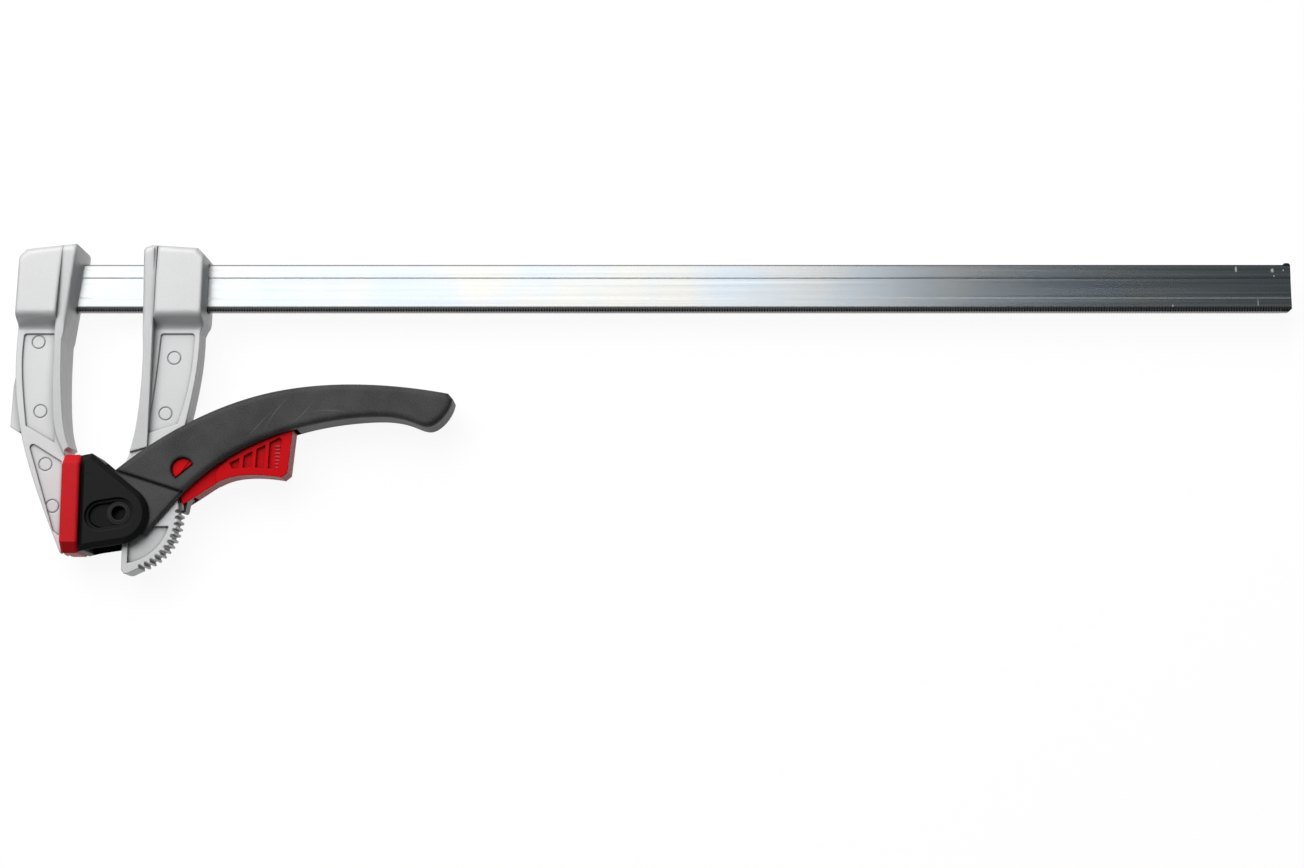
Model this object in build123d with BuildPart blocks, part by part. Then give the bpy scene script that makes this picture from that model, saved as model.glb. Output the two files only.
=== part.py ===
"""Quick release bar clamp with a ratchet lever, in millimetres.

The clamp lies on its side. +X runs along the rail to its free end, +Y runs from
the jaws to the rail and +Z is up, through the clamp's mid-plane at Z = 0. The
origin is the centre of the fixed jaw's clamping face.
"""
from build123d import *
from math import atan2, cos, degrees, pi, radians, sin
import os

os.makedirs("parts", exist_ok=True)

# --- driving dimensions -------------------------------------------------------

# rail
rail_height = 20.0
rail_thickness = 5.0
rail_length = 533.0
rail_chamfer = 1.0  # serrated corners of the lower edge
rail_channel_width = 8.6
rail_channel_depth = 0.15
nib_height = 0.8  # upset end that stops the sliding arm
nib_length = 3.4
rail_end_round = 1.1  # corners of the free end
throat_depth = 82.5  # jaw centre to the rail's lower edge
slot_clearance = 0.3

# both arms
hub_half_width = 12.5
hub_round = 2.6
web_half_width = 6.3
panel_depth = 0.8
border_width = 2.6
mark_radius = 2.9  # ejector rings in the panels
mark_line = 0.4
mark_depth = 0.25

# fixed arm
fixed_back_x = -21.5
fixed_front_x = -2.3
fixed_lean = 5.6  # how far the hub's throat side leans out by its top
fixed_bulge = 2.0  # crown of the throat side on the mid-plane
fixed_flange_thickness = 3.0
jaw_half_height = 20.5
jaw_tip_thickness = 1.2
fin_half_width = 3.0
fin_height = 2.6
groove_width = 6.0  # crossed V grooves in the jaw face
groove_depth = 1.0

# sliding arm
slider_x = 31.4  # throat side of the sliding arm
slider_width = 25.4
slider_flange_thickness = 3.8
slider_lean = 0.5  # how far the hub's outer side leans out by its top
slider_crown = 0.7  # crown of the hub's outer side on the mid-plane
crease_width = 1.2
crease_depth = 0.8
insert_length = 5.0
insert_height = 3.0

# pivot, axle and ratchet
pivot_x = 24.3
pivot_y = -4.2
axle_radius = 4.0
axle_bore_radius = 3.0
axle_bore_depth = 4.5
recess_depth = 1.5  # of the axle's ends in the housing
bushing_wall = 1.0
boss_wall = 1.3
collar_radius = 4.8
running_gap = 0.3
fit_gap = 0.15
crest_radius = 23.9
tooth_height = 1.4
tooth_pitch = 6.5  # degrees
tooth_count = 12
first_tooth_angle = 3.2  # degrees, from +X about the pivot
rim_width = 2.0

# lever
lever_swing_angle = 65.0  # degrees, ten tooth pitches
cam_rise = 6.6  # mm of pad travel for each radian
cam_reach = 15.1  # pivot to thrust plate with the lever home
cheek_thickness = 2.4
handle_half_width = 9.5
handle_round = 2.4
trunnion_radius = 4.4
trunnion_chord = 1.2  # trunnion centre to the flat of its D
trunnion_recess = 1.6
step_groove_width = 0.9
step_groove_depth = 0.7

# pressure housing, cap and thrust plate
slide_tilt = 8.8  # degrees, pad slide against the rail
jaw_gap = 0.3
cap_height = 41.0
cap_width = 25.0
cap_depth = 7.5
cap_chamfer = 4.2
cap_face_thickness = 3.3
cap_wall = 1.7
cap_round = 1.3
housing_wall = 2.4
housing_bevel = 2.2
plate_thickness = 2.2
plate_length = 12.0

# trigger and pawl
trigger_half_width = 6.2
neck_recess = 0.8  # of the trigger's neck and nose beside its thumb block
pawl_half_width = 4.0
pawl_gap = 0.15
pin_radius = 1.0
trigger_rib_width = 1.7
trigger_rib_count = 3

# springs
spring_radius = 1.9
spring_wire = 0.5
spring_coils = 6

# --- shared places ------------------------------------------------------------

rail_top = throat_depth + rail_height
rail_middle = throat_depth + rail_height / 2
rail_start = fixed_back_x + 3.0
rail_end = rail_start + rail_length
slot_height = rail_height + 2 * slot_clearance
slot_width = rail_thickness + 2 * slot_clearance
hub_top = rail_top + 5.0
hub_base = throat_depth - 2.5
arm_top = throat_depth - 8.0
panel_top = throat_depth - 10.4
slider_end = slider_x + slider_width
cheek_inner = web_half_width + running_gap
cheek_outer = cheek_inner + cheek_thickness
wall_inner = handle_half_width + running_gap
wall_outer = wall_inner + housing_wall
boss_radius = axle_radius + bushing_wall + boss_wall
root_radius = crest_radius - tooth_height
pad_travel = cam_rise * radians(lever_swing_angle)
slide_x = cos(radians(slide_tilt))
slide_y = sin(radians(slide_tilt))
cap_face_x = jaw_gap
cap_back_x = cap_face_x + cap_depth
hub_peak = hub_top + 2.4
flange_half_top = hub_half_width - 0.1
flange_half_low = 0.6 * hub_half_width
flange_low_y = throat_depth / 4


def from_pivot(x, y):
    """A point given from the pivot, in the clamp's own frame."""
    return (pivot_x + x, pivot_y + y)


def polar(radius, angle):
    """A point at a radius and an angle in degrees about the pivot."""
    return from_pivot(radius * cos(radians(angle)), radius * sin(radians(angle)))


def along_slide(reach, rise):
    """A point behind the pivot against the slide, and above the slide's axis."""
    return from_pivot(-reach * slide_x - rise * slide_y, -reach * slide_y + rise * slide_x)


def cam_point(turn):
    """The cam's profile: an involute, so the flat plate moves evenly with the lever."""
    angle = pi + radians(slide_tilt + turn)
    reach = cam_reach - cam_rise * radians(turn)
    return from_pivot(
        reach * cos(angle) + cam_rise * sin(angle),
        reach * sin(angle) - cam_rise * cos(angle),
    )


# --- rail and what is fixed to it ---------------------------------------------

with BuildPart() as rail:
    with BuildSketch(Plane.YZ.offset(rail_start)):
        with Locations((rail_middle, 0)):
            Rectangle(rail_height, rail_thickness)
        for side in (-1, 1):
            with Locations((rail_middle, side * rail_thickness / 2)):
                Rectangle(rail_channel_width, 2 * rail_channel_depth, mode=Mode.SUBTRACT)
    extrude(amount=rail_length)
    chamfer(rail.edges().filter_by(Axis.X).group_by(Axis.Y)[0], rail_chamfer)
    with BuildSketch(Plane.XY.offset(-rail_thickness / 2)):
        with BuildLine():
            Polyline(
                (rail_end - nib_length, rail_top),
                (rail_end, rail_top),
                (rail_end, rail_top + nib_height),
                (rail_end - 0.7 * nib_length, rail_top + nib_height),
                close=True,
            )
        make_face()
    extrude(amount=rail_thickness)
    end_corners = rail.faces().sort_by(Axis.X)[-1].edges().filter_by(Axis.Z)
    fillet(end_corners.sort_by(Axis.Y)[-1], rail_end_round)
    chamfer(
        rail.faces().sort_by(Axis.X)[-1].edges().filter_by(Axis.Z).sort_by(Axis.Y)[0],
        rail_end_round,
    )
rail.part.label = "rail"
export_step(rail.part, "parts/rail.step")

flange_start_y = arm_top - 2.5
fixed_outline_low = jaw_half_height - 2.0
fixed_crease_top = fixed_front_x - 0.4
fixed_crease_low = fixed_front_x - fixed_flange_thickness
fixed_throat = [
    (fixed_front_x, flange_start_y),
    (fixed_front_x, 0.7 * throat_depth),
    (fixed_front_x + 0.9, 0.48 * throat_depth),
    (fixed_front_x + 2.5, 0.35 * throat_depth),
    (fixed_front_x + 4.1, 0.29 * throat_depth),
]
fixed_strip = [
    (fixed_front_x + 0.6, 0.3 * throat_depth),
    (fixed_front_x - 1.2, 0.35 * throat_depth),
    (fixed_front_x - 2.9, 0.48 * throat_depth),
    (fixed_front_x - fixed_flange_thickness - 0.2, 0.7 * throat_depth),
    (fixed_crease_low, flange_start_y),
]
fixed_back = [
    (fixed_back_x, arm_top),
    (fixed_back_x - 0.5, 0.72 * throat_depth),
    (fixed_back_x + 0.6, 0.52 * throat_depth),
    (fixed_back_x + 3.4, 0.34 * throat_depth),
    (fixed_back_x / 2 - 1.2, 0.1 * throat_depth),
    (-jaw_tip_thickness, -fixed_outline_low),
]
pocket_corner = (-15.8, 27.0)
pocket_middle = (-9.6, 7.5)
pocket_foot = (-3.8, -11.0)
fixed_marks = [(-13.0, 68.6), (-11.1, 39.2), (-8.1, 16.9), (-4.6, -0.7)]
anchor_radius = 2.0
anchor_spacing = 8.0


def hub_hollow(start_x, side):
    """The space beside the arm under a hub, where its face falls in an S to the web."""
    with BuildSketch(Plane.YZ.offset(start_x)) as section:
        with BuildLine():
            Spline(
                (arm_top - 1.0, side * web_half_width),
                (hub_base + 1.0, side * hub_half_width),
                tangents=((1, 0), (1, 0)),
            )
            Polyline(
                (hub_base + 1.0, side * hub_half_width),
                (hub_base + 1.0, side * 2 * hub_half_width),
                (arm_top - 6.0, side * 2 * hub_half_width),
                (arm_top - 6.0, side * web_half_width),
                (arm_top - 1.0, side * web_half_width),
            )
        make_face()
    return section.sketch


def flange_taper(start_x):
    """The section of a throat flange, seen along X: widest at the hub's top."""
    with BuildSketch(Plane.YZ.offset(start_x)) as section:
        with BuildLine():
            Polyline(
                (flange_low_y, -flange_half_low),
                (hub_peak, -flange_half_top),
                (2 * hub_peak, -flange_half_top),
                (2 * hub_peak, flange_half_top),
                (hub_peak, flange_half_top),
                (flange_low_y, flange_half_low),
                (-hub_peak, flange_half_low),
                (-hub_peak, -flange_half_low),
                close=True,
            )
        make_face()
    return section.sketch


def top_edges(body, low):
    """The edges where a block's top meets its two faces, for rounding."""
    straight = body.edges().filter_by(GeomType.LINE)
    near = straight.filter_by_position(Axis.Z, flange_half_top - 1.0, hub_half_width + 1.0)
    far = straight.filter_by_position(Axis.Z, -hub_half_width - 1.0, 1.0 - flange_half_top)
    return (near + far).filter_by_position(Axis.Y, low, 2 * hub_peak)


with BuildPart() as fixed_block:
    with BuildSketch():
        with BuildLine():
            Polyline(
                (fixed_back_x, arm_top - 5.0),
                (fixed_back_x, hub_base),
                (fixed_back_x + 0.8, hub_top - 2.6),
                (fixed_back_x + 3.4, hub_top),
                (fixed_crease_top, hub_top + 1.8),
                (fixed_crease_low, arm_top - 5.0),
                close=True,
            )
        make_face()
    extrude(amount=hub_half_width, both=True)
    fillet(top_edges(fixed_block, hub_top - 2.0), hub_round)
    for side in (-1, 1):
        extrude(
            hub_hollow(2 * fixed_back_x, side),
            amount=-3 * fixed_back_x,
            mode=Mode.SUBTRACT,
        )

# throat flange, wider than the web and tapering to the jaw
with BuildPart() as fixed_flange:
    with BuildSketch():
        with BuildLine():
            Spline(*fixed_throat)
            Polyline(
                fixed_throat[-1],
                (0, jaw_half_height + 2.0),
                (0, jaw_half_height),
                fixed_strip[0],
            )
            Spline(*fixed_strip)
            Polyline(
                fixed_strip[-1],
                (fixed_crease_top - 0.3, hub_top + 1.8),
                (fixed_crease_top, hub_top + 1.9),
                (fixed_front_x + fixed_lean - 0.6, hub_peak),
                (fixed_front_x + fixed_lean, hub_peak - 0.8),
                (fixed_front_x + 1.4, hub_base),
                fixed_throat[0],
            )
        make_face()
    extrude(amount=hub_half_width, both=True)
    extrude(flange_taper(2 * fixed_back_x), amount=-4 * fixed_back_x, mode=Mode.INTERSECT)
    fillet(top_edges(fixed_flange, hub_top), hub_round)

# crown of the throat side around the rail
fixed_slant = (hub_peak - hub_base) / (fixed_lean - 1.4)
with BuildPart() as fixed_crown:
    with BuildSketch(Plane.XZ.offset(-hub_peak)):
        with BuildLine():
            ThreePointArc(
                (fixed_front_x + fixed_lean, -hub_half_width + 1.0),
                (fixed_front_x + fixed_lean + fixed_bulge, 0),
                (fixed_front_x + fixed_lean, hub_half_width - 1.0),
            )
            Polyline(
                (fixed_front_x + fixed_lean, hub_half_width - 1.0),
                (fixed_crease_top, hub_half_width - 1.0),
                (fixed_crease_top, -hub_half_width + 1.0),
                (fixed_front_x + fixed_lean, -hub_half_width + 1.0),
            )
        make_face()
    extrude(amount=1.1 * (hub_peak - flange_start_y), dir=(-1, -fixed_slant, 0))
    with BuildSketch():
        with BuildLine():
            Polyline(
                (fixed_crease_low + 0.6, flange_start_y - 3.0),
                (fixed_front_x, flange_start_y - 3.0),
                (fixed_front_x + 1.4 + fixed_bulge, hub_base),
                (fixed_front_x + fixed_lean + fixed_bulge, hub_top - 1.0),
                (fixed_front_x + fixed_lean - 0.6, hub_peak - 0.6),
                (fixed_crease_top + 0.6, hub_top + 1.0),
                close=True,
            )
        make_face()
    extrude(amount=hub_half_width, both=True, mode=Mode.INTERSECT)
    extrude(flange_taper(2 * fixed_back_x), amount=-4 * fixed_back_x, mode=Mode.INTERSECT)

with BuildPart() as fixed_arm:
    add(fixed_block.part)
    add(fixed_flange.part)
    add(fixed_crown.part)
    # arm web, from the hub down to the jaw
    with BuildSketch():
        with BuildLine():
            Line((fixed_back_x, arm_top + 2), fixed_back[0])
            Spline(*fixed_back)
            Polyline(
                fixed_back[-1],
                (-jaw_tip_thickness / 2, -jaw_half_height + 0.6),
                (0, -jaw_half_height),
                (0, jaw_half_height + 2.0),
                fixed_throat[-1],
            )
            Spline(*reversed(fixed_throat))
            Polyline(fixed_throat[0], (fixed_front_x, arm_top + 2), (fixed_back_x, arm_top + 2))
        make_face()
    extrude(amount=web_half_width, both=True)
    # back fin on the mid-plane
    with BuildSketch():
        with BuildLine():
            Polyline(
                (fixed_back_x - 0.4, 0.72 * throat_depth),
                (fixed_back_x - 1.9, 0.61 * throat_depth),
                (fixed_back_x - fin_height, 0.4 * throat_depth),
                (fixed_back_x + 1.3, 0.37 * throat_depth),
                (fixed_back_x + 4, 0.41 * throat_depth),
                (fixed_back_x + 3, 0.7 * throat_depth),
                close=True,
            )
        make_face()
    extrude(amount=fin_half_width, both=True)
    # upper panel and lower triangular pocket, on both faces
    for side in (-1, 1):
        with BuildSketch(Plane.XY.offset(side * web_half_width)) as fixed_panels:
            with BuildLine():
                Spline(
                    (fixed_back_x + border_width, panel_top),
                    (fixed_back_x + border_width - 0.4, 0.68 * throat_depth),
                    (fixed_back_x + border_width + 1.3, 0.48 * throat_depth),
                    (fixed_back_x + border_width + 2.2, 0.4 * throat_depth),
                )
                Polyline(
                    (fixed_back_x + border_width + 2.2, 0.4 * throat_depth),
                    (fixed_front_x - 2.3, 0.315 * throat_depth),
                )
                Spline(
                    (fixed_front_x - 2.3, 0.315 * throat_depth),
                    (fixed_front_x - 2.9, 0.48 * throat_depth),
                    (fixed_crease_low - 0.1, 0.7 * throat_depth),
                    (fixed_crease_low, panel_top),
                )
                Line((fixed_crease_low, panel_top), (fixed_back_x + border_width, panel_top))
            make_face()
            fillet(fixed_panels.vertices().group_by(Axis.Y)[-1].sort_by(Axis.X)[0], 1.2)
        extrude(amount=-side * panel_depth, mode=Mode.SUBTRACT)
        with BuildSketch(Plane.XY.offset(side * web_half_width)) as fixed_pocket:
            with BuildLine():
                Spline(pocket_corner, pocket_middle, pocket_foot)
                Polyline(
                    pocket_foot,
                    (-jaw_tip_thickness, pocket_foot[1] - 2.0),
                    (-jaw_tip_thickness, jaw_half_height - 2.6),
                    pocket_corner,
                )
            make_face()
            fillet(fixed_pocket.vertices().group_by(Axis.Y)[-1], 1.4)
        extrude(amount=-side * panel_depth, mode=Mode.SUBTRACT)
        for mark_x, mark_y in fixed_marks:
            with BuildSketch(Plane.XY.offset(side * (web_half_width - panel_depth))):
                with Locations((mark_x, mark_y)):
                    Circle(mark_radius)
                    Circle(mark_radius - mark_line, mode=Mode.SUBTRACT)
            extrude(amount=-side * mark_depth, mode=Mode.SUBTRACT)
    # slot for the rail, pins that hold it and the jaw's crossed V grooves
    with Locations((0, rail_middle, 0)):
        Box(rail_length, rail_height, rail_thickness, mode=Mode.SUBTRACT)
    for step in (-1, 1):
        with BuildSketch(Plane.XY.offset(-hub_half_width)):
            with Locations((fixed_back_x / 2, rail_middle + step * anchor_spacing / 2)):
                Circle(anchor_radius)
        extrude(amount=hub_half_width + web_half_width, mode=Mode.SUBTRACT)
    for plane in (Plane.XZ, Plane.XY):
        with BuildSketch(plane):
            with BuildLine():
                Polyline(
                    (0, -groove_width / 2),
                    (-groove_depth, 0),
                    (0, groove_width / 2),
                    close=True,
                )
            make_face()
        extrude(amount=jaw_half_height, both=True, mode=Mode.SUBTRACT)
fixed_arm.part.label = "fixed_arm"
export_step(fixed_arm.part, "parts/fixed_arm.step")

with BuildPart() as rail_anchor_pins:
    for step in (-1, 1):
        with BuildSketch(Plane.XY.offset(-hub_half_width)):
            with Locations((fixed_back_x / 2, rail_middle + step * anchor_spacing / 2)):
                Circle(anchor_radius)
        extrude(amount=hub_half_width - rail_thickness / 2)
rail_anchor_pins.part.label = "rail_anchor_pins"
export_step(rail_anchor_pins.part, "parts/rail_anchor_pins.step")

# --- sliding arm --------------------------------------------------------------

slider_throat = [
    (slider_x + 0.2, flange_start_y),
    (slider_x + 0.4, 0.72 * throat_depth),
    (slider_x - 0.3, 0.56 * throat_depth),
    (slider_x - 2.0, 0.38 * throat_depth),
    (slider_x - 4.3, 0.265 * throat_depth),
]
slider_strip = [
    (slider_x + slider_flange_thickness - 0.8, 0.29 * throat_depth),
    (slider_x + slider_flange_thickness - 0.6, 0.375 * throat_depth),
    (slider_x + slider_flange_thickness - 0.2, 0.56 * throat_depth),
    (slider_x + slider_flange_thickness + 0.4, flange_start_y),
]
slider_back = [
    (slider_end - 2.1, arm_top),
    (slider_end - 2.4, 0.76 * throat_depth),
    (slider_end - 4.7, 0.55 * throat_depth),
    (slider_end - 8.2, 0.35 * throat_depth),
]
slider_panel_inner = [
    (slider_x + slider_flange_thickness + 3.2, panel_top),
    (slider_x + slider_flange_thickness + 2.3, 0.74 * throat_depth),
    (slider_x + slider_flange_thickness + 0.8, 0.56 * throat_depth),
    (slider_x + slider_flange_thickness - 1.4, 0.36 * throat_depth),
]
slider_panel_outer = [
    (slider_end - 10.4, 0.41 * throat_depth),
    (slider_end - 6.8, 0.57 * throat_depth),
    (slider_end - 4.8, 0.74 * throat_depth),
    (slider_end - 4.3, panel_top),
]
slider_marks = [(44.1, 61.8), (41.2, 38.2)]
slider_crease_top = slider_x + slider_flange_thickness + 2.2
slider_crease_low = slider_x + slider_flange_thickness + 0.4
slider_neck_x = 43.0  # waist behind the trigger
neck_low_y = 8.0
neck_high_y = 19.0
sector_left_x = 25.1
sector_tip_y = -28.8
sector_border = 2.4
sector_pocket_depth = 1.5
sector_end_angle = -75.0
crest_join_angle = 14.0
insert_y = throat_depth - slot_clearance
guide_y = rail_top + slot_clearance
bite_x = slider_end - 3.2 - insert_length
guide_x = slider_x + 0.8
bite_tooth = 1.0
bite_depth = 0.4
spring_rise = 17.4  # return spring above the slide's axis
arm_post_reach = -4.9
housing_post_reach = 10.6
arm_post = along_slide(arm_post_reach, spring_rise)
housing_post = along_slide(housing_post_reach, spring_rise)
spring_slot_half = spring_radius + spring_wire + 0.4
spring_slot_length = 14.0

# block of the hub around the rail, behind a crease from the throat flange
slider_slant = (hub_top - hub_base) / slider_lean
slider_far_x = slider_end - 0.4 + hub_top / slider_slant  # outer side at twice the hub's height
with BuildPart() as slider_block:
    with BuildSketch(Plane.XZ.offset(-2 * hub_top)):
        with BuildLine():
            Polyline(
                (slider_x, -hub_half_width),
                (slider_far_x, -hub_half_width),
            )
            ThreePointArc(
                (slider_far_x, -hub_half_width),
                (slider_far_x + slider_crown, 0),
                (slider_far_x, hub_half_width),
            )
            Polyline(
                (slider_far_x, hub_half_width),
                (slider_x, hub_half_width),
                (slider_x, -hub_half_width),
            )
        make_face()
    extrude(amount=2 * hub_top, dir=(-1, -slider_slant, 0))
    with BuildSketch():
        with BuildLine():
            Polyline(
                (slider_crease_low, arm_top - 5.0),
                (slider_crease_top, hub_top + 1.6),
                (slider_end - 3.2, hub_top + 0.5),
                (slider_end - 1.0, hub_top - 1.7),
                (slider_end + 2, rail_top),
                (slider_end + 2, throat_depth),
                (slider_end - 2.1, arm_top - 2.0),
                (slider_end - 2.1, arm_top - 5.0),
                close=True,
            )
        make_face()
    extrude(amount=hub_half_width, both=True, mode=Mode.INTERSECT)
    fillet(top_edges(slider_block, hub_top - 2.0), hub_round)
    for side in (-1, 1):
        extrude(hub_hollow(slider_x - 2, side), amount=2 * slider_width, mode=Mode.SUBTRACT)

# throat flange, tapering from the hub's top towards the lever
with BuildPart() as slider_flange:
    with BuildSketch():
        with BuildLine():
            Spline(*slider_throat)
            Line(slider_throat[-1], slider_strip[0])
            Spline(*slider_strip)
            Polyline(
                slider_strip[-1],
                (slider_crease_top - 0.6, hub_top + 1.6),
                (slider_x + 3.0, hub_top + 1.8),
                (slider_x + 1.0, hub_top + 1.2),
                (slider_x, hub_top - 0.8),
                slider_throat[0],
            )
        make_face()
    extrude(amount=hub_half_width, both=True)
    extrude(flange_taper(slider_x - 8), amount=slider_width, mode=Mode.INTERSECT)
    fillet(top_edges(slider_flange, hub_top + 1.0), hub_round)

with BuildPart() as sliding_arm:
    add(slider_block.part)
    add(slider_flange.part)
    # crease between the flange and the block, on both faces
    for side in (-1, 1):
        with BuildSketch(Plane.XY.offset(side * (hub_half_width - crease_depth))):
            with BuildLine():
                Polyline(
                    (slider_crease_low - 0.3, arm_top - 2.0),
                    (slider_crease_top - 0.6, 2 * hub_top),
                    (slider_crease_top - 0.6 + crease_width, 2 * hub_top),
                    (slider_crease_low - 0.3 + crease_width, arm_top - 2.0),
                    close=True,
                )
            make_face()
        extrude(amount=side * crease_depth, mode=Mode.SUBTRACT)
    # arm web, waist, pivot boss and toothed sector
    with BuildSketch():
        with BuildLine():
            Line((slider_x + 0.4, arm_top + 2), slider_throat[0])
            Spline(*slider_throat)
            Polyline(
                slider_throat[-1],
                from_pivot(-boss_radius + 0.6, boss_radius / 2),
                from_pivot(0, 0),
                (sector_left_x, pivot_y - boss_radius / 2),
                (sector_left_x, sector_tip_y + 1.5),
                (sector_left_x + 1.2, sector_tip_y),
                (sector_left_x + 2.6, sector_tip_y),
                polar(crest_radius, sector_end_angle + 3.0),
            )
            ThreePointArc(
                polar(crest_radius, sector_end_angle + 3.0),
                polar(crest_radius, (sector_end_angle + crest_join_angle) / 2),
                polar(crest_radius, crest_join_angle),
            )
            Polyline(
                polar(crest_radius, crest_join_angle),
                (slider_neck_x, neck_low_y),
                (slider_neck_x, neck_high_y),
                slider_back[-1],
            )
            Spline(*reversed(slider_back))
            Polyline(
                slider_back[0],
                (slider_end - 2.1, arm_top + 2),
                (slider_x + 0.4, arm_top + 2),
            )
        make_face()
        with Locations(from_pivot(0, 0)):
            Circle(boss_radius)
    extrude(amount=web_half_width, both=True)
    # panel beside the flange and pocket inside the toothed rim, on both faces
    for side in (-1, 1):
        with BuildSketch(Plane.XY.offset(side * web_half_width)) as slider_panel:
            with BuildLine():
                Spline(*slider_panel_inner)
                Line(slider_panel_inner[-1], slider_panel_outer[0])
                Spline(*slider_panel_outer)
                Line(slider_panel_outer[-1], slider_panel_inner[0])
            make_face()
            fillet(slider_panel.vertices().group_by(Axis.Y)[-1], 1.2)
        extrude(amount=-side * panel_depth, mode=Mode.SUBTRACT)
        with BuildSketch(Plane.XY.offset(side * web_half_width)):
            with Locations(from_pivot(0, 0)):
                Circle(root_radius - rim_width)
                Circle(root_radius / 2, mode=Mode.SUBTRACT)
            with BuildLine():
                Polyline(
                    (sector_left_x + sector_border, pivot_y - 5),
                    (sector_left_x + sector_border, sector_tip_y),
                    (pivot_x + crest_radius, sector_tip_y),
                    (pivot_x + crest_radius, pivot_y - 5),
                    close=True,
                )
            make_face(mode=Mode.INTERSECT)
        extrude(amount=-side * sector_pocket_depth, mode=Mode.SUBTRACT)
        for mark_x, mark_y in slider_marks:
            with BuildSketch(Plane.XY.offset(side * (web_half_width - panel_depth))):
                with Locations((mark_x, mark_y)):
                    Circle(mark_radius)
                    Circle(mark_radius - mark_line, mode=Mode.SUBTRACT)
            extrude(amount=-side * mark_depth, mode=Mode.SUBTRACT)
    # ratchet teeth
    with BuildSketch():
        for tooth in range(tooth_count):
            valley = first_tooth_angle - tooth * tooth_pitch
            with BuildLine():
                Polyline(
                    polar(crest_radius + 0.6, valley - 2.4),
                    polar(root_radius, valley - 1.2),
                    polar(root_radius, valley + 0.8),
                    polar(crest_radius + 0.6, valley + 3.0),
                    close=True,
                )
            make_face()
    extrude(amount=web_half_width, both=True, mode=Mode.SUBTRACT)
    # slot for the rail, seats of the two inserts
    with Locations((slider_x + slider_width / 2, rail_middle, 0)):
        Box(2 * slider_width, slot_height, slot_width, mode=Mode.SUBTRACT)
    with Locations((bite_x + insert_length / 2, insert_y - insert_height / 2, 0)):
        Box(insert_length, insert_height, slot_width, mode=Mode.SUBTRACT)
    with Locations((guide_x + insert_length / 2, guide_y + insert_height / 2, 0)):
        Box(insert_length, insert_height, slot_width, mode=Mode.SUBTRACT)
    # bore for the bushing, notch and bore for the return spring's post
    with BuildSketch():
        with Locations(from_pivot(0, 0)):
            Circle(axle_radius + bushing_wall)
        with Locations(arm_post):
            Circle(pin_radius)
    extrude(amount=web_half_width, both=True, mode=Mode.SUBTRACT)
    with BuildSketch():
        with Locations(Location((arm_post[0] - 4, arm_post[1] - 0.6, 0), (0, 0, slide_tilt))):
            Rectangle(spring_slot_length, 2 * spring_slot_half)
    extrude(amount=spring_slot_half, both=True, mode=Mode.SUBTRACT)
sliding_arm.part.label = "sliding_arm"
export_step(sliding_arm.part, "parts/sliding_arm.step")

with BuildPart() as bite_insert:
    with Locations((bite_x + insert_length / 2, insert_y - insert_height / 2, 0)):
        Box(insert_length, insert_height, slot_width)
    with BuildSketch():
        for step in range(int(insert_length / bite_tooth)):
            left = bite_x + step * bite_tooth
            with BuildLine():
                Polyline(
                    (left, insert_y),
                    (left + bite_tooth / 2, insert_y - bite_depth),
                    (left + bite_tooth, insert_y),
                    close=True,
                )
            make_face()
    extrude(amount=slot_width / 2, both=True, mode=Mode.SUBTRACT)
bite_insert.part.label = "bite_insert"
export_step(bite_insert.part, "parts/bite_insert.step")

with BuildPart() as guide_insert:
    with Locations((guide_x + insert_length / 2, guide_y + insert_height / 2, 0)):
        Box(insert_length, insert_height, slot_width)
guide_insert.part.label = "guide_insert"
export_step(guide_insert.part, "parts/guide_insert.step")

# --- axle ---------------------------------------------------------------------

with BuildPart() as pivot_bushing:
    with BuildSketch():
        with Locations(from_pivot(0, 0)):
            Circle(axle_radius + bushing_wall)
            Circle(axle_radius, mode=Mode.SUBTRACT)
    extrude(amount=web_half_width, both=True)
pivot_bushing.part.label = "pivot_bushing"
export_step(pivot_bushing.part, "parts/pivot_bushing.step")

axle_half_length = wall_outer - recess_depth

with BuildPart() as lever_axle:
    with BuildSketch():
        with Locations(from_pivot(0, 0)):
            Circle(axle_radius)
    extrude(amount=axle_half_length, both=True)
    # blind bore in each end
    for side in (-1, 1):
        with BuildSketch(Plane.XY.offset(side * axle_half_length)):
            with Locations(from_pivot(0, 0)):
                Circle(axle_bore_radius)
        extrude(amount=-side * axle_bore_depth, mode=Mode.SUBTRACT)
lever_axle.part.label = "lever_axle"
export_step(lever_axle.part, "parts/lever_axle.step")

for name, side in (("axle_collar_near", 1), ("axle_collar_far", -1)):
    with BuildPart() as axle_collar:
        with BuildSketch(Plane.XY.offset(side * (cheek_outer + running_gap))):
            with Locations(from_pivot(0, 0)):
                Circle(collar_radius)
                Circle(axle_radius, mode=Mode.SUBTRACT)
        extrude(amount=side * (axle_half_length - fit_gap - cheek_outer - running_gap))
    axle_collar.part.label = name
    export_step(axle_collar.part, f"parts/{name}.step")

with BuildPart() as spring_post_arm:
    with BuildSketch():
        with Locations(arm_post):
            Circle(pin_radius)
    extrude(amount=web_half_width, both=True)
spring_post_arm.part.label = "spring_post_arm"
export_step(spring_post_arm.part, "parts/spring_post_arm.step")

# --- lever and its cams -------------------------------------------------------

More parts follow.
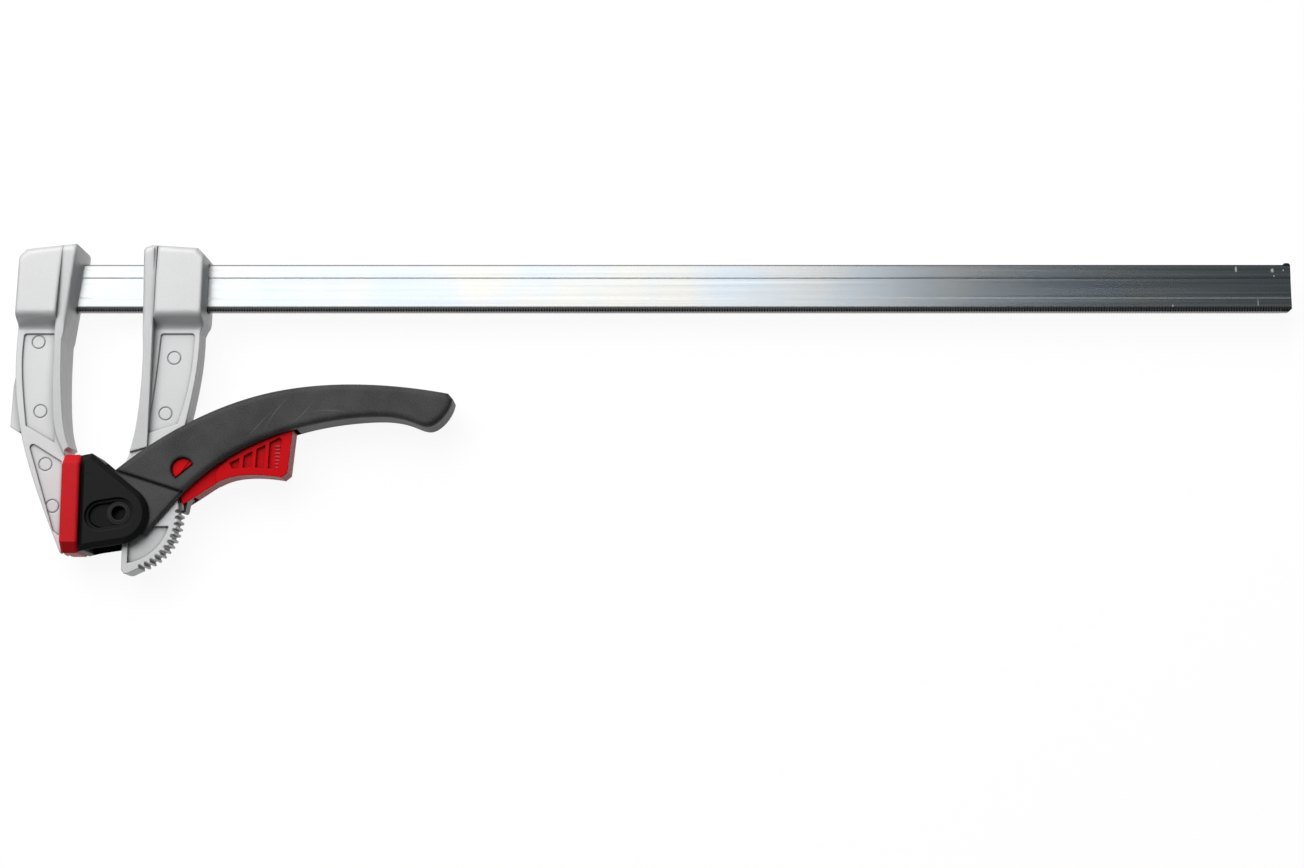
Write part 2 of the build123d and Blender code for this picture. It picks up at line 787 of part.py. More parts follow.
cam_split = 8.0  # the cheeks' plastic takes over from the cams here
cam_overrun = 3.0  # degrees of cam profile past each end of the swing
cam_tail = 13.0
trigger_x = 49.7
trigger_y = 14.5
hole_radius = trunnion_radius + running_gap
cheek_corner = (34.6, -13.4)
step_low = (50.4, 5.0)
step_high = (21.7, 14.3)
lever_crest = [(50.3, 33.6), (81.2, 45.9), (120.0, 50.3), (159.3, 46.4)]
lever_tip = (161.3, 44.0)
lever_belly = [
    (157.9, 36.6),
    (151.3, 32.2),
    (144.3, 34.2),
    (125.3, 36.3),
    (95.5, 31.3),
    (69.5, 20.0),
]
channel_roof = [
    (51.6, 60.0),
    (51.2, 33.0),
    (54.0, 29.0),
    (62.0, 30.8),
    (76.0, 35.4),
    (90.0, 38.0),
    (96.2, 38.0),
]
channel_mouth = [(96.2, 10.0), (60.0, -10.0), (-10.0, -40.0), (-10.0, 60.0)]

with BuildPart() as lever:
    with BuildSketch():
        with BuildLine():
            Spline(step_high, *lever_crest)
            Line(lever_crest[-1], lever_tip)
            Spline(lever_tip, *lever_belly, step_low)
            Polyline(
                step_low,
                cheek_corner,
                from_pivot(cam_split, -8.0),
                from_pivot(cam_split, cam_split),
                from_pivot(-cam_tail, cam_split),
                step_high,
            )
        make_face()
    extrude(amount=handle_half_width, both=True)
    # rounded outer edges of the handle
    outer_faces = lever.faces().filter_by(Axis.Z)
    handle_edges = outer_faces.edges().filter_by(lambda edge: edge.center().X > step_low[0])
    fillet(handle_edges, handle_round)
    # the cheeks are thinner than the handle
    for side in (-1, 1):
        with BuildSketch(Plane.XY.offset(side * cheek_outer)):
            with BuildLine():
                Polyline(
                    step_high,
                    step_low,
                    (step_low[0] + 2, cheek_corner[1] - 5),
                    (step_high[0] - 20, cheek_corner[1] - 5),
                    (step_high[0] - 20, step_high[1] + 6.4),
                    close=True,
                )
            make_face()
        extrude(amount=side * handle_half_width, mode=Mode.SUBTRACT)
        groove_middle = (
            (step_low[0] + step_high[0]) / 2,
            (step_low[1] + step_high[1]) / 2,
        )
        groove_turn = degrees(atan2(step_low[1] - step_high[1], step_low[0] - step_high[0]))
        with BuildSketch(Plane.XY.offset(side * (cheek_outer - step_groove_depth))):
            with Locations(Location((*groove_middle, 0), (0, 0, groove_turn))):
                with Locations((0, -step_groove_width / 2)):
                    Rectangle(lever_tip[0], step_groove_width)
        extrude(amount=side * step_groove_depth, mode=Mode.SUBTRACT)
    # channel for the sliding arm and the trigger
    with BuildSketch():
        with BuildLine():
            Polyline(*channel_roof, *channel_mouth, close=True)
        make_face()
    extrude(amount=cheek_inner, both=True, mode=Mode.SUBTRACT)
    # D-shaped windows for the trigger's trunnions
    with BuildSketch():
        with Locations((trigger_x, trigger_y)):
            Circle(hole_radius)
        with Locations(Location((trigger_x, trigger_y, 0), (0, 0, -50))):
            with Locations((trunnion_chord + running_gap + hole_radius, 0)):
                Rectangle(2 * hole_radius, 3 * hole_radius, mode=Mode.SUBTRACT)
    extrude(amount=handle_half_width, both=True, mode=Mode.SUBTRACT)
lever.part.label = "lever"
export_step(lever.part, "parts/lever.step")

for name, side in (("cam_near", 1), ("cam_far", -1)):
    with BuildPart() as cam:
        with BuildSketch(Plane.XY.offset(side * cheek_inner)):
            with BuildLine():
                turns = [
                    -cam_overrun + share * (lever_swing_angle + 2 * cam_overrun) / 6
                    for share in range(7)
                ]
                profile = [cam_point(turn) for turn in turns]
                Spline(*profile)
                Polyline(
                    profile[-1],
                    from_pivot(0, -boss_radius + fit_gap),
                    from_pivot(cam_split, -5.0),
                    from_pivot(cam_split, cam_split),
                    from_pivot(-cam_tail, cam_split),
                    profile[0],
                )
            make_face()
            with Locations(from_pivot(0, 0)):
                Circle(axle_radius + fit_gap, mode=Mode.SUBTRACT)
        extrude(amount=side * cheek_thickness)
    cam.part.label = name
    export_step(cam.part, f"parts/{name}.step")

# --- pressure housing ---------------------------------------------------------

plate_reach = cam_reach + running_gap
cavity_reach = plate_reach + 0.8
neck_back_x = cap_face_x + cap_face_thickness
top_block_x = 14.0
top_block_y = 14.0
housing_top = [(12.4, 20.8), (17.6, 16.6)]
housing_shoulder = (32.0, 5.0)
housing_heel = (27.0, -16.8)
housing_foot = (13.0, -18.9)
cavity_foot_x = 10.1
recess_margin = 1.5
plate_low = cam_rise - plate_length / 2
plate_high = cam_rise + plate_length / 2


def plate_outline(clearance):
    """The four corners of the tilted thrust plate, grown along its length."""
    return (
        along_slide(plate_reach, plate_low - clearance),
        along_slide(plate_reach + plate_thickness, plate_low - clearance),
        along_slide(plate_reach + plate_thickness, plate_high + clearance),
        along_slide(plate_reach, plate_high + clearance),
    )


with BuildPart() as pressure_housing:
    with BuildSketch():
        with BuildLine():
            Polyline(
                (cap_back_x, -cap_height / 2 + 0.4),
                (cap_back_x, cap_height / 2 - 0.6),
                *housing_top,
                housing_shoulder,
            )
            TangentArc(
                housing_shoulder,
                housing_heel,
                tangent=(
                    housing_shoulder[0] - housing_top[-1][0],
                    housing_shoulder[1] - housing_top[-1][1],
                ),
            )
            Polyline(
                housing_heel,
                housing_foot,
                (cap_back_x, -cap_height / 2 + 0.4),
            )
        make_face()
    extrude(amount=wall_outer, both=True)
    chamfer(pressure_housing.faces().filter_by(Axis.Z).edges(), housing_bevel)
    # neck that fills the cap
    with BuildSketch(Plane.YZ.offset(neck_back_x)) as neck_section:
        Rectangle(cap_height - 2 * cap_wall, cap_width - 2 * cap_wall)
        chamfer(neck_section.vertices(), cap_chamfer - cap_wall / 2)
    extrude(amount=cap_back_x - neck_back_x)
    # cavity for the cams, cheeks and the arm's end, with the thrust plate's seat
    with BuildSketch():
        with BuildLine():
            Polyline(
                along_slide(cavity_reach, (top_block_y - pivot_y) + cavity_reach * slide_y),
                (top_block_x, top_block_y),
                (top_block_x, 2 * cap_height),
                (4 * pivot_x, 2 * cap_height),
                (4 * pivot_x, -2 * cap_height),
                (cavity_foot_x, -2 * cap_height),
                along_slide(cavity_reach, -11.5),
                close=True,
            )
        make_face()
    extrude(amount=wall_inner, both=True, mode=Mode.SUBTRACT)
    with BuildSketch():
        Polygon(*plate_outline(0), align=None)
    extrude(amount=cheek_outer, both=True, mode=Mode.SUBTRACT)
    # guide slots for the axle's collars, with a wider recess outside
    slot_middle = along_slide(pad_travel / 2, 0)
    with BuildSketch():
        with Locations(Location((slot_middle[0], slot_middle[1], 0), (0, 0, slide_tilt))):
            SlotCenterToCenter(pad_travel, 2 * (collar_radius + 0.2))
    extrude(amount=wall_outer, both=True, mode=Mode.SUBTRACT)
    for side in (-1, 1):
        with BuildSketch(Plane.XY.offset(side * axle_half_length)):
            with Locations(Location((slot_middle[0], slot_middle[1], 0), (0, 0, slide_tilt))):
                SlotCenterToCenter(pad_travel, 2 * (collar_radius + recess_margin))
        extrude(amount=side * recess_depth, mode=Mode.SUBTRACT)
    with BuildSketch():
        with Locations(housing_post):
            Circle(pin_radius)
    extrude(amount=wall_outer - fit_gap, both=True, mode=Mode.SUBTRACT)
pressure_housing.part.label = "pressure_housing"
export_step(pressure_housing.part, "parts/pressure_housing.step")

with BuildPart() as spring_post_housing:
    with BuildSketch():
        with Locations(housing_post):
            Circle(pin_radius)
    extrude(amount=wall_outer - fit_gap, both=True)
spring_post_housing.part.label = "spring_post_housing"
export_step(spring_post_housing.part, "parts/spring_post_housing.step")

with BuildPart() as thrust_plate:
    with BuildSketch():
        Polygon(*plate_outline(0), align=None)
    extrude(amount=cheek_outer, both=True)
thrust_plate.part.label = "thrust_plate"
export_step(thrust_plate.part, "parts/thrust_plate.step")

with BuildPart() as pressure_cap:
    with BuildSketch(Plane.YZ.offset(cap_face_x)) as cap_section:
        Rectangle(cap_height, cap_width)
        chamfer(cap_section.vertices(), cap_chamfer)
    extrude(amount=cap_depth)
    fillet(pressure_cap.faces().sort_by(Axis.X)[0].edges(), cap_round)
    fillet(pressure_cap.faces().sort_by(Axis.X)[-1].edges(), cap_round)
    with BuildSketch(Plane.YZ.offset(neck_back_x)) as cap_hollow:
        Rectangle(cap_height - 2 * cap_wall, cap_width - 2 * cap_wall)
        chamfer(cap_hollow.vertices(), cap_chamfer - cap_wall / 2)
    extrude(amount=cap_depth, mode=Mode.SUBTRACT)
pressure_cap.part.label = "pressure_cap"
export_step(pressure_cap.part, "parts/pressure_cap.step")

# --- trigger and pawl ---------------------------------------------------------

pawl_tip = polar(crest_radius + pawl_gap, first_tooth_angle - 0.2)
nose_radius = crest_radius + tooth_height + pawl_gap
nose_angle = 9.0  # degrees, the nose's end about the pivot
neck_half_width = trigger_half_width - neck_recess
pawl_pin_half = neck_half_width - 0.6
pawl_pin_place = from_pivot(nose_radius + 1.15, 7.2)
pawl_back = [
    from_pivot(nose_radius + 1.45, 5.1),
    from_pivot(nose_radius + 3.25, 6.8),
    from_pivot(nose_radius + 3.25, 9.2),
    from_pivot(nose_radius + 0.05, 10.2),
]
nose_foot = from_pivot(nose_radius + 0.45, 4.6)
trigger_belly = [nose_foot, (57.3, 5.0), (66.5, 10.4), (79.0, 12.3), (90.4, 11.2)]
trigger_end = [(92.8, 13.2), (94.6, 31.4), (91.0, 31.6)]
trigger_roof = [(75.0, 27.6), (58.0, 20.6)]
fork_outline = [
    from_pivot(root_radius, -3.8),
    from_pivot(nose_radius + 3.85, -3.8),
    from_pivot(nose_radius + 4.85, 8.8),
    from_pivot(nose_radius + 0.25, 10.6),
    from_pivot(root_radius, 10.6),
]
window_outline = [
    (68.6, 17.2),
    (69.8, 15.0),
    (77.4, 15.5),
    (88.8, 14.7),
    (90.2, 26.8),
    (89.2, 28.0),
]
neck_outline = [
    (trigger_x - 10.0, pivot_y),
    (trigger_x + 10.0, pivot_y),
    (63.4, 7.0),
    (62.9, 13.0),
    (64.2, 15.4),
    (67.2, 18.1),
    (67.2, 30.0),
    (trigger_x - 10.0, 30.0),
]
rib_pitch = 5.2
rib_start = (73.6, 20.0)
rib_length = 20.0
window_depth = 1.4

with BuildPart() as trigger:
    with BuildSketch():
        with BuildLine():
            Line(polar(nose_radius, nose_angle), trigger_belly[0])
            Spline(*trigger_belly)
            Polyline(
                trigger_belly[-1],
                *trigger_end,
                *trigger_roof,
                (trigger_x + 4.0, trigger_y + 3.0),
                (trigger_x - 3.4, trigger_y - 3.0),
                polar(nose_radius, nose_angle + 12.0),
            )
            ThreePointArc(
                polar(nose_radius, nose_angle + 12.0),
                polar(nose_radius, nose_angle + 6.0),
                polar(nose_radius, nose_angle),
            )
        make_face()
        with Locations((trigger_x, trigger_y)):
            Circle(trunnion_radius + 1.0)
    extrude(amount=trigger_half_width, both=True)
    # neck and nose, thinner than the thumb block
    for side in (-1, 1):
        with BuildSketch(Plane.XY.offset(side * neck_half_width)) as neck:
            with BuildLine():
                Polyline(*neck_outline, close=True)
            make_face()
            fillet(neck.vertices().group_by(Axis.X)[-2], 1.0)
        extrude(amount=side * trigger_half_width, mode=Mode.SUBTRACT)
    # recessed window with its ribs, on both faces of the thumb block
    for side in (-1, 1):
        with BuildSketch(Plane.XY.offset(side * trigger_half_width)) as window:
            with BuildLine():
                Polyline(*window_outline, close=True)
            make_face()
            for rib in range(trigger_rib_count):
                with Locations((rib_start[0] + rib * rib_pitch, rib_start[1])):
                    Rectangle(trigger_rib_width, rib_length, rotation=-3, mode=Mode.SUBTRACT)
        extrude(amount=-side * window_depth, mode=Mode.SUBTRACT)
    # trunnions that show in the lever's windows
    with BuildSketch():
        with Locations((trigger_x, trigger_y)):
            Circle(trunnion_radius)
        with Locations(Location((trigger_x, trigger_y, 0), (0, 0, -50))):
            with Locations((trunnion_chord + trunnion_radius - 0.6, 0)):
                Rectangle(2 * trunnion_radius, 3 * trunnion_radius, mode=Mode.SUBTRACT)
    extrude(amount=handle_half_width - trunnion_recess, both=True)
    # fork for the pawl and its pin
    with BuildSketch():
        with BuildLine():
            Polyline(*fork_outline, close=True)
        make_face()
    extrude(amount=pawl_half_width, both=True, mode=Mode.SUBTRACT)
    with BuildSketch():
        with Locations(pawl_pin_place):
            Circle(pin_radius)
    extrude(amount=pawl_pin_half, both=True, mode=Mode.SUBTRACT)
trigger.part.label = "trigger"
export_step(trigger.part, "parts/trigger.step")

with BuildPart() as pawl:
    with BuildSketch():
        with BuildLine():
            Polyline(
                pawl_tip,
                polar(nose_radius, first_tooth_angle - 1.3),
                polar(nose_radius + 0.8, first_tooth_angle - 0.4),
                *pawl_back,
                polar(nose_radius, first_tooth_angle + 1.9),
                close=True,
            )
        make_face()
        with Locations(pawl_pin_place):
            Circle(pin_radius, mode=Mode.SUBTRACT)
    extrude(amount=pawl_half_width, both=True)
pawl.part.label = "pawl"
export_step(pawl.part, "parts/pawl.step")

with BuildPart() as pawl_pin:
    with BuildSketch():
        with Locations(pawl_pin_place):
            Circle(pin_radius)
    extrude(amount=pawl_pin_half, both=True)
pawl_pin.part.label = "pawl_pin"
export_step(pawl_pin.part, "parts/pawl_pin.step")

# --- springs ------------------------------------------------------------------

post_gap = pin_radius + spring_wire / 2
pad_spring_length = arm_post_reach * -1 + housing_post_reach - 2 * post_gap
pad_spring_start = along_slide(housing_post_reach - post_gap, spring_rise)

with BuildPart() as pad_return_spring:
    with BuildLine() as pad_coil:
        Helix(
            pad_spring_length / spring_coils,
            pad_spring_length,
            spring_radius,
            center=(pad_spring_start[0], pad_spring_start[1], 0),
            direction=(slide_x, slide_y, 0),
        )
    with BuildSketch(Plane(origin=pad_coil.line @ 0, z_dir=pad_coil.line % 0)):
        Circle(spring_wire / 2)
    sweep(is_frenet=True)
pad_return_spring.part.label = "pad_return_spring"
export_step(pad_return_spring.part, "parts/pad_return_spring.step")

trigger_spring_x = 80.0
trigger_spring_low = 29.3
trigger_spring_length = 6.4

with BuildPart() as trigger_spring:
    with BuildLine() as trigger_coil:
        Helix(
            trigger_spring_length / spring_coils,
            trigger_spring_length,
            spring_radius,
            center=(trigger_spring_x, trigger_spring_low, 0),
            direction=(0, 1, 0),
        )
    with BuildSketch(Plane(origin=trigger_coil.line @ 0, z_dir=trigger_coil.line % 0)):
        Circle(spring_wire / 2)
    sweep(is_frenet=True)
trigger_spring.part.label = "trigger_spring"
export_step(trigger_spring.part, "parts/trigger_spring.step")
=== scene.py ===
"""Quick release bar clamp: its finishes, fine details and studio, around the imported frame.

Laid out as an add-on: sizes and colours are properties, and each piece, each finish and
the stage is an operator, called in order by main().
"""
import math

import bpy
from bpy.props import FloatProperty, FloatVectorProperty, IntProperty, PointerProperty
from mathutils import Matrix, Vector


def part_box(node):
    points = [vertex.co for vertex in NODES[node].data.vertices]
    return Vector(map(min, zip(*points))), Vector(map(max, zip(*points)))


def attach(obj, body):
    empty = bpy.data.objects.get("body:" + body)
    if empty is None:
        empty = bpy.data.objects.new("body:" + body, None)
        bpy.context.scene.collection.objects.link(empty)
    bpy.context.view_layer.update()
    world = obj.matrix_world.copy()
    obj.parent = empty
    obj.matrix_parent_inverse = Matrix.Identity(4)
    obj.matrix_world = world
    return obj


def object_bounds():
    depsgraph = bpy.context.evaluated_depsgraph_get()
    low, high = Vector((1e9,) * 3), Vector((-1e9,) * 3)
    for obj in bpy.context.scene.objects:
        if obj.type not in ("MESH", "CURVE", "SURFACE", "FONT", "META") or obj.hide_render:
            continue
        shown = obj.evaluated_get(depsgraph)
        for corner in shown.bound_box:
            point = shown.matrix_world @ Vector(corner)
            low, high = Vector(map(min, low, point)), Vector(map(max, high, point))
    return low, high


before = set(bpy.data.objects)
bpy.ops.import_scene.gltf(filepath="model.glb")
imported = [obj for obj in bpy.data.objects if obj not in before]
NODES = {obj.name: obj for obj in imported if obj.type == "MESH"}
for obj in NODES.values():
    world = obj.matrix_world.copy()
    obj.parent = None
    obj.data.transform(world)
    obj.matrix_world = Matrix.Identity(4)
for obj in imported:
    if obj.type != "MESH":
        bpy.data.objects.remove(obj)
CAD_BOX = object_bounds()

bl_info = {
    "name": "Quick release bar clamp",
    "version": (1, 0, 0),
    "blender": (4, 5, 0),
    "location": "View3D > Sidebar > Clamp",
    "description": "Finishes and details the parts of a quick release bar clamp",
    "category": "Object",
}

RAIL_LOW, RAIL_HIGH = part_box("rail")
# the bar's own height, without the nib at its free end
RAIL_HEIGHT = 0.0200
# over what height one of the rail's bands fades into the next
BAND_FADE = 0.0001
# the hubs' rounder shading fades in between these depths below the rail
HUB_FADE = (0.009, 0.005)
# radius of the soft edges of the arms below their hubs
ARM_ROUND = 0.0007
FLOOR_Z = CAD_BOX[0][2]
WINDOW_FLOOR_Z = 0.0048
TRUNNION_CENTRE = (0.0497, 0.0140)
TRUNNION_INNER_Z = 0.0070
TRUNNION_SEAM_NORMAL = (0.823, -0.568, 0.0)
TRUNNION_SEAM_HALF = 0.0003
# towards the part of the surroundings that metal mirrors as dark, and where it fades out
DARK_SIDE_AXIS = (-0.52, 0.83, 0.21)
DARK_SIDE_FADE = (0.3, 0.95)
SENSOR_WIDTH = 36.0

CAST_NODES = ("fixed_arm", "sliding_arm")
AXLE_NODES = ("lever_axle", "axle_collar_near", "axle_collar_far", "pawl", "pawl_pin")
DARK_STEEL_NODES = ("cam_near", "cam_far", "thrust_plate")
INSERT_NODES = (
    "rail_anchor_pins",
    "bite_insert",
    "guide_insert",
    "pivot_bushing",
    "spring_post_arm",
    "spring_post_housing",
    "pad_return_spring",
    "trigger_spring",
)


# --- settings -----------------------------------------------------------------


def length(name, description, default):
    """A length property, in metres."""
    return FloatProperty(
        name=name, description=description, default=default, min=0.0, unit="LENGTH", precision=5
    )


def coordinate(name, description, default):
    """A coordinate in metres, which may be negative."""
    return FloatProperty(name=name, description=description, default=default, unit="LENGTH")


def number(name, description, default):
    """A plain number, such as a share or a brightness."""
    return FloatProperty(name=name, description=description, default=default)


def point(name, description, default):
    """A point in space."""
    return FloatVectorProperty(
        name=name, description=description, default=default, size=3, unit="LENGTH"
    )


def colour(name, description, default):
    """A linear colour property."""
    return FloatVectorProperty(
        name=name,
        description=description,
        default=default,
        size=3,
        min=0.0,
        max=1.0,
        subtype="COLOR",
    )


class ClampRailSettings(bpy.types.PropertyGroup):
    tooth_pitch: length("Tooth pitch", "Distance between two of the rail's serrations", 0.00112)
    tooth_width: length("Tooth width", "Width of one serration at its foot", 0.00078)
    tooth_reach: length("Tooth reach", "How far a serration stands into the corner", 0.0009)
    tooth_crown: number("Crown", "Share of the width left at the tip", 0.45)
    tooth_blunt: number("Blunt", "How far the tip stays off the corner", 0.06)
    end_margin: length("End margin", "Plain length of the edge at each end", 0.003)
    # painted shade: a near black, dull band along the serrated lower edge, darkest in the gaps
    # between the teeth
    shaded_band_height: length("Bitten height", "Height of the dull band along the serrated edge", 0.0020)
    serration_shade_colour: colour("Bitten band", "Dull dark zinc of the serrated edge", (0.012, 0.012, 0.012))
    tooth_colour: colour("Teeth", "Dull zinc of the serrations", (0.055, 0.055, 0.055))
    # painted shade: a darker line along the rail's upper edge
    lip_height: length("Lip height", "Height of the darker line along the upper edge", 0.0006)
    lip_shade_colour: colour("Lip", "Darker zinc along the upper edge", (0.15, 0.15, 0.155))


class ClampGripSettings(bpy.types.PropertyGroup):
    rib_count: IntProperty(
        name="Ribs", description="Fine ribs beside the trigger's window", default=7, min=2
    )
    rib_length: length("Rib length", "Length of one fine rib", 0.0030)
    rib_radius: length("Rib radius", "Half the width of one fine rib", 0.00065)
    rib_sink: length("Rib sink", "How deep a rib's middle lies in the window's floor", 0.0001)
    rib_start: point("First rib", "Place of the lowest rib", (0.0872, 0.0155, 0.0))
    rib_end: point("Last rib", "Place of the highest rib", (0.0869, 0.0245, 0.0))


class ClampColourSettings(bpy.types.PropertyGroup):
    cast: colour("Cast metal", "Satin silver paint of the two arms", (0.85, 0.85, 0.855))
    hub_round: length("Hub rounding", "Radius of the soft edges of the arms' hubs", 0.0022)
    zinc: colour("Zinc", "Bright plate of the rail", (0.445, 0.455, 0.46))
    steel: colour("Steel", "Plain ground steel of pins and inserts", (0.40, 0.40, 0.41))
    dark_steel: colour("Dark steel", "Blackened steel of the cams", (0.006, 0.006, 0.006))
    axle: colour("Axle", "Dark steel of the tubular axle and its collars", (0.028, 0.028, 0.029))
    lever: colour("Lever", "Dark grey plastic of the lever", (0.076, 0.076, 0.076))
    housing: colour("Housing", "Near black plastic of the pressure housing", (0.008, 0.008, 0.008))
    red: colour("Red", "Red plastic of the trigger", (0.92, 0.004, 0.010))
    cap: colour("Cap", "Duller red plastic of the pressure cap", (0.88, 0.018, 0.027))


class ClampStageSettings(bpy.types.PropertyGroup):
    floor_size: length("Floor size", "Edge of the square floor", 8.0)
    camera_place: point(
        "Camera place", "Where the camera stands", (0.24439, -0.11386, 0.93545)
    )
    camera_pitch: FloatProperty(
        name="Camera pitch",
        description="Lean of the view from straight down, towards the rail",
        default=math.radians(8.77),
        subtype="ANGLE",
    )
    lens: number("Lens", "Focal length in millimetres", 62.28)
    softbox_height: length("Softbox height", "Height of the softbox over the middle plane", 1.5)
    softbox_left: coordinate("Softbox left", "Left edge of the softbox", -1.9)
    softbox_right: coordinate("Softbox right", "Right edge of the softbox", 0.486)
    softbox_depth: length("Softbox depth", "Size of the softbox across the rail", 3.0)
    softbox_middle: coordinate("Softbox middle", "Middle of the softbox across the rail", 1.7)
    softbox_level: number("Softbox level", "Brightness of the softbox's surface", 2.32)
    sky_level: number("Sky level", "Brightness of the surroundings as light", 0.08)
    dark_side: colour(
        "Dark side", "What metal mirrors above the rail's free end", (0.034, 0.054, 0.064)
    )
    floor_glow: number("Floor glow", "Brightness of the floor as seen", 0.92)
    floor_bounce: number("Floor bounce", "How much light the floor sends back up", 0.12)
    floor_shade: number("Floor shade", "How much of the shadow shows", 0.16)


# --- shader helpers -----------------------------------------------------------

# a colour mix node's sockets, which have the same names as those for its other data types
MIX_A = 6
MIX_B = 7
MIX_RESULT = 2
RELIEF_DEPTH = 0.0001


def add_node(tree, kind, place, **settings):
    """A new node of a tree, with its settings."""
    node = tree.nodes.new(kind)
    node.location = (place[0] * 220.0, place[1] * 220.0)
    for name, value in settings.items():
        setattr(node, name, value)
    return node


def link(tree, source, output, target, socket):
    """Links a node's output to another node's input."""
    tree.links.new(source.outputs[output], target.inputs[socket])


def feed(tree, value, socket):
    """Gives an input its value, which is another node's output or a constant."""
    if isinstance(value, bpy.types.NodeSocket):
        tree.links.new(value, socket)
    else:
        socket.default_value = value


def compute(tree, place, operation, *values):
    """The result of a math node."""
    node = add_node(tree, "ShaderNodeMath", place, operation=operation)
    for value, socket in zip(values, node.inputs):
        feed(tree, value, socket)
    return node.outputs["Value"]


def compute_vector(tree, place, operation, *values):
    """The result of a vector math node, a vector or a number."""
    node = add_node(tree, "ShaderNodeVectorMath", place, operation=operation)
    sockets = (node.inputs[0], node.inputs["Scale" if operation == "SCALE" else 1])
    for value, socket in zip(values, sockets):
        feed(tree, value, socket)
    is_number = operation in {"DOT_PRODUCT", "DISTANCE", "LENGTH"}
    return node.outputs["Value" if is_number else "Vector"]


def ramp(tree, place, value, start, end, **settings):
    """A mask that goes from 0 to 1 as the value goes from start to end."""
    node = add_node(tree, "ShaderNodeMapRange", place, **settings)
    feed(tree, value, node.inputs["Value"])
    feed(tree, start, node.inputs["From Min"])
    feed(tree, end, node.inputs["From Max"])
    return node.outputs["Result"]


def mix(tree, place, factor, first, second):
    """Two colours mixed by a factor."""
    node = add_node(tree, "ShaderNodeMix", place, data_type="RGBA")
    feed(tree, factor, node.inputs["Factor"])
    feed(tree, first, node.inputs[MIX_A])
    feed(tree, second, node.inputs[MIX_B])
    return node.outputs[MIX_RESULT]


def noise(tree, place, vector, scale, detail=2.0):
    """The value of a noise texture."""
    node = add_node(tree, "ShaderNodeTexNoise", place)
    feed(tree, vector, node.inputs["Vector"])
    feed(tree, scale, node.inputs["Scale"])
    feed(tree, detail, node.inputs["Detail"])
    return node.outputs["Fac"]


def object_place(tree, place):
    """Where a point of the piece is."""
    return add_node(tree, "ShaderNodeTexCoord", place).outputs["Object"]


def coordinates(tree, place, vector):
    """A vector's three parts."""
    node = add_node(tree, "ShaderNodeSeparateXYZ", place)
    feed(tree, vector, node.inputs["Vector"])
    return node.outputs


def opaque(tone):
    """A colour with full alpha."""
    return (*tone, 1.0)


def scaled(tone, share):
    """A colour made lighter or darker."""
    return tuple(share * part for part in tone)


def new_material(name):
    """An empty node material with its output and its Principled BSDF."""
    material = bpy.data.materials.new(name)
    material.use_nodes = True
    tree = material.node_tree
    tree.nodes.clear()
    output = add_node(tree, "ShaderNodeOutputMaterial", (6, 0))
    shader = add_node(tree, "ShaderNodeBsdfPrincipled", (4, 0))
    link(tree, shader, "BSDF", output, "Surface")
    return material, tree, shader


# --- shader groups ------------------------------------------------------------

COLOUR_INPUT = ("Color", "NodeSocketColor", (0.5, 0.5, 0.5, 1.0))


def group_tree(name, inputs, outputs):
    """An empty shader node group with named sockets, and its inputs and outputs."""
    tree = bpy.data.node_groups.new(name, "ShaderNodeTree")
    for label, kind, default in inputs:
        socket = tree.interface.new_socket(label, in_out="INPUT", socket_type=kind)
        socket.default_value = default
    for label, kind in outputs:
        tree.interface.new_socket(label, in_out="OUTPUT", socket_type=kind)
    entry = add_node(tree, "NodeGroupInput", (-6, 0)).outputs
    end = add_node(tree, "NodeGroupOutput", (6, 0)).inputs
    return tree, entry, end


def grain_group():
    """Fine skin of a moulded or painted surface: a colour shift, a roughness shift and a height."""
    tree, entry, end = group_tree(
        "surface_grain",
        (
            COLOUR_INPUT,
            ("Grain Scale", "NodeSocketFloat", 2600.0),
            ("Mottle Scale", "NodeSocketFloat", 60.0),
            ("Color Shift", "NodeSocketFloat", 0.06),
            ("Roughness", "NodeSocketFloat", 0.5),
            ("Roughness Shift", "NodeSocketFloat", 0.1),
        ),
        (
            ("Color", "NodeSocketColor"),
            ("Roughness", "NodeSocketFloat"),
            ("Height", "NodeSocketFloat"),
        ),
    )
    place = object_place(tree, (-5, -1))
    grain = noise(tree, (-3, 1), place, entry["Grain Scale"], 3.0)
    mottle = noise(tree, (-3, -1), place, entry["Mottle Scale"], 4.0)
    both = compute(tree, (-1, 0), "ADD", grain, mottle)
    centred = compute(tree, (0, 0), "SUBTRACT", both, 1.0)
    shade = compute(tree, (1, 1), "MULTIPLY_ADD", centred, entry["Color Shift"], 1.0)
    tint = compute_vector(tree, (3, 1), "SCALE", entry["Color"], shade)
    rough = compute(
        tree, (3, -1), "MULTIPLY_ADD", centred, entry["Roughness Shift"], entry["Roughness"]
    )
    feed(tree, tint, end["Color"])
    feed(tree, rough, end["Roughness"])
    feed(tree, grain, end["Height"])
    return tree


def edge_group():
    """Rounded shading at a piece's edges and a mask of where they are."""
    tree, entry, end = group_tree(
        "soft_edges",
        (("Radius", "NodeSocketFloat", 0.0004),),
        (("Normal", "NodeSocketVector"), ("Edge", "NodeSocketFloat")),
    )
    bevel = add_node(tree, "ShaderNodeBevel", (-3, 0), samples=6)
    feed(tree, entry["Radius"], bevel.inputs["Radius"])
    plain = add_node(tree, "ShaderNodeNewGeometry", (-3, -1))
    normals = (bevel.outputs["Normal"], plain.outputs["Normal"])
    facing = compute_vector(tree, (-1, -1), "DOT_PRODUCT", *normals)
    feed(tree, normals[0], end["Normal"])
    feed(tree, ramp(tree, (1, -1), facing, 0.995, 0.80), end["Edge"])
    return tree


